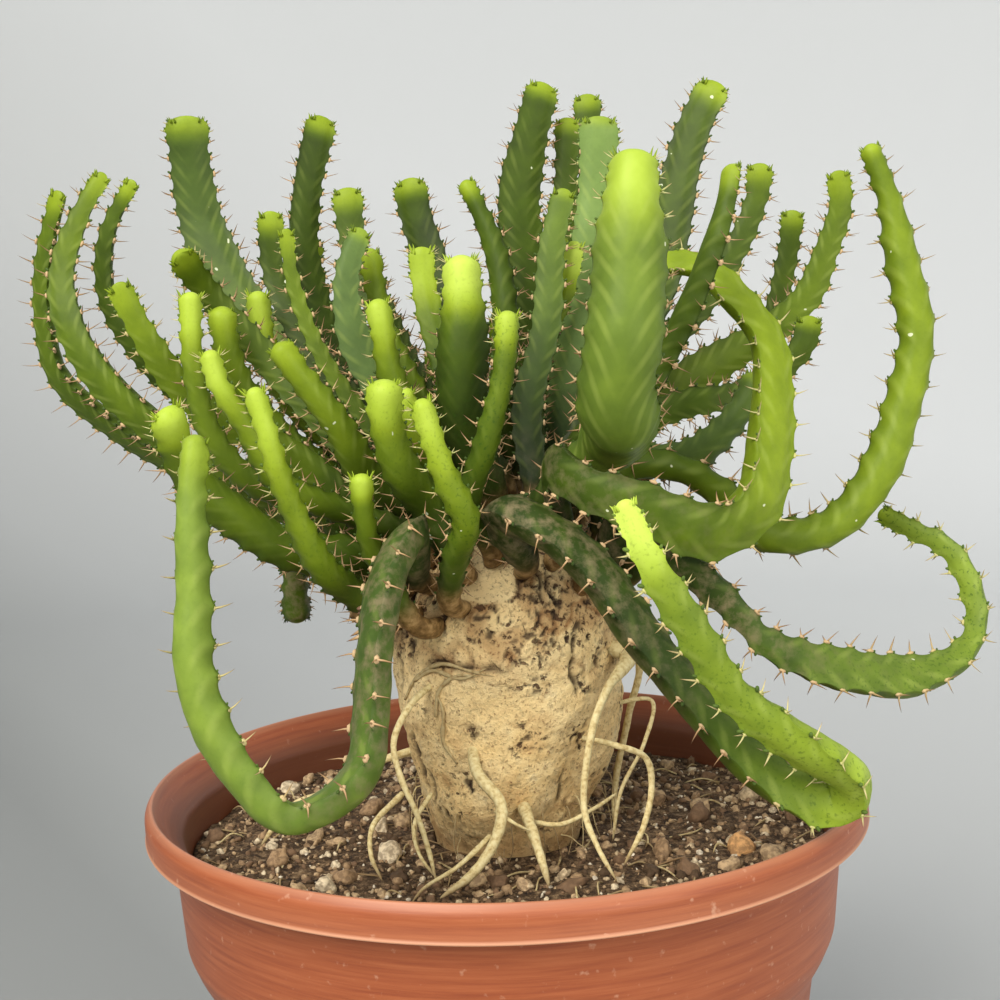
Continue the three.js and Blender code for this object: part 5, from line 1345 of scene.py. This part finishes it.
def growStem(number, points, field):
    stem = stems[number]
    draw = np.random.RandomState(stemLayout["seed"] + number)
    young = stem.get("young", False)
    look = growth["young" if young else "old"]
    around = stemLayout["around"]
    length = lengthOf(points) - stemLayout["tipInset"]
    dome = stem.get("dome", min(0.42 * stem["width"][-1], 2.9))
    count = math.ceil((length - dome) / stemLayout["ringStep"])
    closed = dome * np.sin(np.linspace(0, 1, 7) * math.pi / 2)
    distances = np.concatenate([np.linspace(0, length - dome, count, endpoint=False),
                                length - dome + closed])
    origins, heading, across, up = stemFrame(points, stem["twist"], distances)
    share = distances / length

    # Width and thickness along the stem: round at the neck, flat further on
    flat = smooth(distances, 0, stemLayout["neckLength"])
    swell = 0.03 * np.sin(distances / 5.3 + number) + 0.02 * np.sin(distances / 2.3 + 2 * number)
    width = stemWidth(stem, distances, length) * (1 + flat * swell)
    girth = 1 + (stem.get("girth", 1) - 1) * flat
    closing = (1 - np.clip((distances - length + dome) / dome, 0, 1) ** 2.1) ** 0.48
    closing = np.maximum(closing, 0.02)
    half = width / 2
    crest = section["crest"] * width * flat
    channel = width * girth * between(section["neck"], section["channel"], flat)
    channel = channel + look["plump"] * flat * width
    back = width * girth * section["back"]

    # Teeth on both edges, and low ribs that rise from the middle to each tooth
    pitch = stem.get("pitch", stemLayout["toothPitch"])
    teeth = [toothPlaces(length, offset, pitch, draw) for offset in stemLayout["toothOffsets"]]
    turn = fullTurn(around)
    cosine, sine = np.cos(turn), np.sin(turn)
    lane = np.abs(cosine)
    hands = (cosine > 0).astype(int)
    slanted = distances[:, None] + section["ribSlant"] * half[:, None] * (1 - lane)
    bump, phases = toothWaves(teeth, pitch, distances, slanted, hands)
    ribs = 0.5 + 0.5 * np.cos(2 * math.pi * phases)
    edgeShift = -look["valley"] + (stemLayout["toothReach"] + look["valley"]) * bump
    edgeShift = edgeShift * flat[:, None] * lane ** 7 * closing[:, None]
    window = np.clip(np.sin(np.clip((lane - 0.2) / 0.78, 0, 1) * math.pi), 0, 1)
    inBody = (flat * smooth(length - distances, 4, 14))[:, None]
    relief = stemLayout["relief"] * look["relief"] * ribs * window * inBody
    upperPower = between(*section["upperPower"], flat)[:, None]
    upperBend = between(section["roundBend"], look["upperBend"], flat)[:, None]
    lowerPower = between(*section["lowerPower"], flat)[:, None]
    lowerBend = between(section["roundBend"], section["lowerBend"], flat)[:, None]
    rise = (channel - crest)[:, None] * (1 - lane ** upperPower) ** upperBend + relief
    fall = (crest + back)[:, None] * (1 - lane ** lowerPower) ** lowerBend + relief
    groove = np.exp(-((lane - look["grooveAt"]) / look["grooveWide"]) ** 2)
    rise = rise - (section["groove"] * width * flat)[:, None] * groove
    centre = (crest * 0.5)[:, None]
    x = (cosine * half[:, None] + np.sign(cosine) * edgeShift) * closing[:, None]
    y = crest[:, None] + np.where(sine >= 0, rise, -fall)
    y = centre + (y - centre) * closing[:, None]
    rings = origins[:, None] + across[:, None] * x[..., None] + up[:, None] * y[..., None]
    end = origins[-1] + up[-1] * centre[-1] + heading[-1] * 0.02

    # Marks that the skin's colours follow: the tone is darker down in the crown, as painted shade
    glow = 1 - smooth(length - distances, 0.25 * stem["glow"], stem["glow"])
    tone = along(stem["tone"], share)
    tone = between(tone, np.maximum(tone, stem.get("peak", look["peak"])), glow)
    # painted shade: the tone darkens towards the foot of each stem
    tone = tone * between(*skin["crownPaintedShade"], smooth(distances, 0, skin["crownReach"]))
    # darker towards both edges, partly the stem's own darker green and partly painted shade; a
    # little lighter on the lower side
    toneMap = tone[:, None] - 0.06 * lane ** 4 * flat[:, None] + 0.04 * (sine < 0)
    if "wear" in stem:
        wear = along(stem["wear"], share)
    else:
        wear = skin["wear"] * (1 - smooth(distances, 4, 26))
    barred = (0.1 + 0.12 * smooth(tone, 0.2, 0.5))[:, None]
    bars = np.clip(window * inBody * stem.get("bars", look["bars"]) * barred, 0, 0.6)
    freckled = along(stem.get("freckled", skin["freckled"]), share)
    corky = stem.get("corky", skin["corky"])
    cork = skin["cork"] * (1 - smooth(distances, corky - 3, corky + 3))
    bloom = stem.get("bloom", 0.0) * (1 - 0.7 * glow)
    body = Piece()
    body.add(np.vstack([rings.reshape(-1, 3), origins[:1], [end]]),
             tubeFaces(len(distances), around), 0,
             tone=capped(toneMap, tone[0], tone[-1]), bar=capped(bars), phase=capped(phases),
             wear=capped(np.repeat(wear, around)), freckled=capped(np.repeat(freckled, around)),
             cork=capped(np.repeat(cork, around), skin["cork"]),
             bloom=capped(np.repeat(bloom, around)))
    frames = {"distances": distances, "origins": origins, "heading": heading, "across": across,
              "up": up, "half": half, "crest": crest, "tone": tone, "length": length,
              "closing": closing}
    for places, sign in zip(teeth, (-1, 1)):
        armEdge(body, number, draw, frames, places, sign, field)
    crownTip(body, draw, frames, look["leaves"], young)
    if "dryFlowers" in stem:
        dryFlowers(body, draw, frames, stem["dryFlowers"])
    name = f"stem_{number + 1:02d}"
    slot = "young_stem" if young else "old_stem"
    body.build(f"shoot_{number + 1:02d}", [cuticle, horn], slot, name)
    return len(body.faces)


def sampleFrame(frames, places):  # the stem's middle and axes at places along it
    distances = frames["distances"]
    picked = {}
    for key in ("origins", "heading", "across", "up"):
        rows = [np.interp(places, distances, frames[key][:, axis]) for axis in range(3)]
        picked[key] = np.column_stack(rows)
    for key in ("half", "crest", "tone", "closing"):
        picked[key] = np.interp(places, distances, frames[key])
    for key in ("heading", "across", "up"):
        picked[key] = unit(picked[key])
    return picked


def armEdge(body, number, draw, frames, places, sign, field):
    # On each tooth: a leaf bud, a horny shield below it, and a pair of spines spread like a V
    here = sampleFrame(frames, places)
    heading, up, outward = here["heading"], here["up"], here["across"] * sign
    count = len(places)
    stem = stems[number]
    look = growth["young" if stem.get("young") else "old"]
    near = smooth(frames["length"] - places, 0.5, 9)  # small near the growing tip
    coarse = stem.get("pitch", 0) > stemLayout["toothPitch"]
    fresh = smooth(here["tone"], 0.42, 0.62) * look["fresh"]
    ridge = here["half"] * here["closing"] + stemLayout["toothReach"] - 0.1
    crest = here["origins"] + outward * ridge[:, None] + up * here["crest"][:, None]

    budSize = draw.uniform(*teethLook["bud"], count) * between(0.7, 1.0, near)
    budSize = (budSize * stem.get("buds", 1.0))[:, None]
    ahead = teethLook["budAhead"] * between(0.55, 1, near)
    budPlace = crest + heading * ahead[:, None] - outward * teethLook["sunk"]
    lean = unit(outward * 0.75 + heading * 0.65)
    long, wide, tall = teethLook["budShape"]
    axes = np.stack([np.cross(lean, up) * budSize * long, up * budSize * wide,
                     lean * budSize * tall], axis=1)
    beads(body, budPlace, axes, 0, smallBead, tone=between(0.3, here["tone"], 0.3),
          bloom=np.full(count, 0.45))

    shield = draw.uniform(*teethLook["shield"], count) * between(0.45, 1.0, near)
    shield = shield * between(1.0, 0.6, fresh) * (teethLook["coarseShield"] if coarse else 1.0)
    shield = shield[:, None]
    shieldPlace = crest - heading * teethLook["shieldBehind"] - outward * teethLook["sunk"]
    long, wide, tall = teethLook["shieldShape"]
    axes = np.stack([up * shield * long, outward * shield * wide, heading * shield * tall], axis=1)
    beads(body, shieldPlace, axes, 1, flatBead, shade=np.full(count, 0.1), fresh=fresh)

    for facing in (1, -1):
        spread = draw.uniform(0.75, 1.0, count)[:, None] * facing
        ways = unit(outward * 0.62 + up * spread + heading * 0.12
                    + draw.normal(scale=0.08, size=(count, 3)))
        bends = unit(heading * 0.9 + outward * 0.35) * draw.uniform(0.1, 0.5, count)[:, None]
        lengths = teethLook["spine"] * draw.uniform(*teethLook["spineVary"], count)
        lengths = lengths * between(look["tipSpine"], 1.0, near) * between(1.0, 0.85, fresh)
        roots = shieldPlace + outward * 0.12 + up * facing * 0.15
        # A spine that meets another stem is tucked in along its own, and shorter if that meets too
        room = roomLeft(spineTips(roots, ways, bends, lengths), number, field)
        tucked = unit(outward * 0.55 + up * (facing * 0.35) + heading * 0.75)
        free = roomLeft(spineTips(roots, tucked, 0 * bends, lengths), number, field)
        swap = ((room < 0.2) & (free > room))[:, None]
        ways = np.where(swap, tucked, ways)
        bends = np.where(swap, 0.0, bends)
        lengths = np.where(np.maximum(room, free) < 0.1, lengths * 0.55, lengths)
        tips = spineTips(roots, ways, bends, lengths)
        outside = np.any((tips < boxInside[0]) | (tips > boxInside[1]), axis=1)
        lengths = np.where(outside, lengths * 0.5, lengths)
        widths = teethLook["spineWidth"] * draw.uniform(0.85, 1.15, count) * between(0.7, 1.0, near)
        widths = widths * (teethLook["coarseSpine"] if coarse else 1.0)
        kept = draw.rand(count) > teethLook["lost"]
        spikes(body, roots[kept], ways[kept], bends[kept], lengths[kept], widths[kept], 1, 4,
               fresh=fresh[kept])


def spineTips(roots, ways, bends, lengths):
    return roots + ways * lengths[:, None] + bends * (0.5 * lengths)[:, None]


def roomLeft(tips, number, field):  # how far each point is from the other stems
    points, room, owner = field
    others = owner != number
    distance = np.linalg.norm(tips[:, None] - points[others][None], axis=2) - room[others][None]
    return distance.min(axis=1)


def crownTip(body, draw, frames, leafLength, young):
    # The growing point: a few tiny pointed leaves at the corners of the blunt end
    end = sampleFrame(frames, np.array([frames["length"] - crown["inset"]]))
    half = float(end["half"][0] * end["closing"][0])
    middle = end["origins"] + end["up"] * end["crest"][0] * 0.5
    aside, above = np.array(crown["leaves"]).T[:, :, None]
    count = len(aside)
    out = end["across"] * aside + end["up"] * above * 0.6
    roots = middle + out * half * 0.85
    ways = unit(end["heading"] + out * 0.25 + draw.normal(scale=0.1, size=(count, 3)))
    lengths = draw.uniform(*leafLength, count)
    lengths = np.minimum(lengths, (boxInside[1][2] - roots[:, 2]) * 0.8)
    tone = float(end["tone"][0]) * draw.choice(crown["tones"], count)
    spikes(body, roots, ways, out * 0.3, lengths, np.full(count, 0.3), 0, 5, tone=tone)
    if not young:
        return
    aside, above = np.array(crown["spines"]).T[:, :, None]
    count = len(aside)
    out = end["across"] * aside + end["up"] * above
    roots = middle + end["across"] * aside * half * 0.9
    ways = unit(out + end["heading"] * 0.4 + draw.normal(scale=0.12, size=(count, 3)))
    bends = end["heading"] * np.full((count, 1), 0.3)
    lengths = draw.uniform(*crown["spineLength"], count)
    spikes(body, roots, ways, bends, lengths, np.full(count, 0.14), 1, 4,
           fresh=np.full(count, 0.9))


def dryFlowers(body, draw, frames, shares):
    # Crumpled brown remains of flowers that still hang on one edge
    places = np.repeat(frames["length"] * np.array(shares), flowers["petals"])
    count = len(places)
    here = sampleFrame(frames, places + draw.normal(scale=flowers["spread"], size=count))
    outward = -here["across"]
    roots = here["origins"] + outward * (here["half"] + 0.2)[:, None]
    roots = roots + draw.normal(scale=0.4, size=(count, 3))
    ways = unit(outward + draw.normal(scale=0.6, size=(count, 3)) - [0, 0, 0.4])
    lengths = draw.uniform(*flowers["length"], count)
    bends = unit(draw.normal(size=(count, 3))) * 0.8
    spikes(body, roots, ways, bends, lengths, draw.uniform(*flowers["width"], count), 1, 5)
    sizes = spinFrames(draw, count) * draw.uniform(*flowers["crumb"], (count, 1, 1)) * [1, 1, 0.6]
    beads(body, roots + outward * 0.4, sizes, 1, smallBead, shade=draw.uniform(0.5, 1.0, count))


lines, field = stemLines()
report("stem lines")
faceCount = sum(growStem(number, points, field) for number, points in enumerate(lines))
report(f"stems, {faceCount} faces")

# Studio: a pale floor that curves up all round, a broad lamp above and soft fill from the sky

studio = {
    "flat": 950.0, "bend": 600.0, "wall": 900.0, "rings": (30.0, 300.0, 600.0), "sides": 96,  # mm
    "aim": (0, 0, 0.16),  # where both lamps point, in metres
    "key": {"place": (-0.5, -0.85, 0.95), "size": 0.8, "power": 20.5, "colour": "#fff9f0"},
    "fill": {"place": (0.55, -0.9, 0.28), "size": 0.7, "power": 6.0, "colour": "#fff6e6"},
    "sky": "#f4f5f6", "skyStrength": 0.7,
}


def makeFloor():
    flat, bend, sides = studio["flat"], studio["bend"], studio["sides"]
    profile = [(radius, 0.0) for radius in (*studio["rings"], flat)]
    for turn in np.linspace(0, math.pi / 2, 13)[1:]:
        profile.append((flat + bend * math.sin(turn), bend * (1 - math.cos(turn))))
    profile.append((flat + bend, bend + studio["wall"]))
    bands = tubeFaces(len(profile), sides, closed=False)[0][:, ::-1]
    faces = bands.tolist() + [list(range(sides))]
    mesh = bpy.data.meshes.new("floor")
    mesh.from_pydata((lathe(profile, sides) * 0.001).tolist(), [], faces)
    mesh.polygons.foreach_set("use_smooth", [True] * len(faces))
    mesh.materials.append(makeBoard())
    floor = bpy.data.objects.new("floor", mesh)
    bpy.context.scene.collection.objects.link(floor)


def makeLights():
    for name in ("key", "fill"):
        lamp = bpy.data.lights.new(name, "AREA")
        lamp.size = studio[name]["size"]
        lamp.energy = studio[name]["power"]
        lamp.color = linear(studio[name]["colour"])[:3]
        holder = bpy.data.objects.new(name, lamp)
        holder.location = studio[name]["place"]
        aim = Vector(studio["aim"]) - holder.location
        holder.rotation_mode = "QUATERNION"
        holder.rotation_quaternion = aim.to_track_quat("-Z", "Y")
        bpy.context.scene.collection.objects.link(holder)
    sky = bpy.data.worlds.new("sky")
    sky.use_nodes = True
    background = sky.node_tree.nodes["Background"]
    background.inputs["Color"].default_value = linear(studio["sky"])
    background.inputs["Strength"].default_value = studio["skyStrength"]
    bpy.context.scene.world = sky
    bpy.context.scene.view_settings.view_transform = "Standard"


makeFloor()
makeLights()
report("studio")
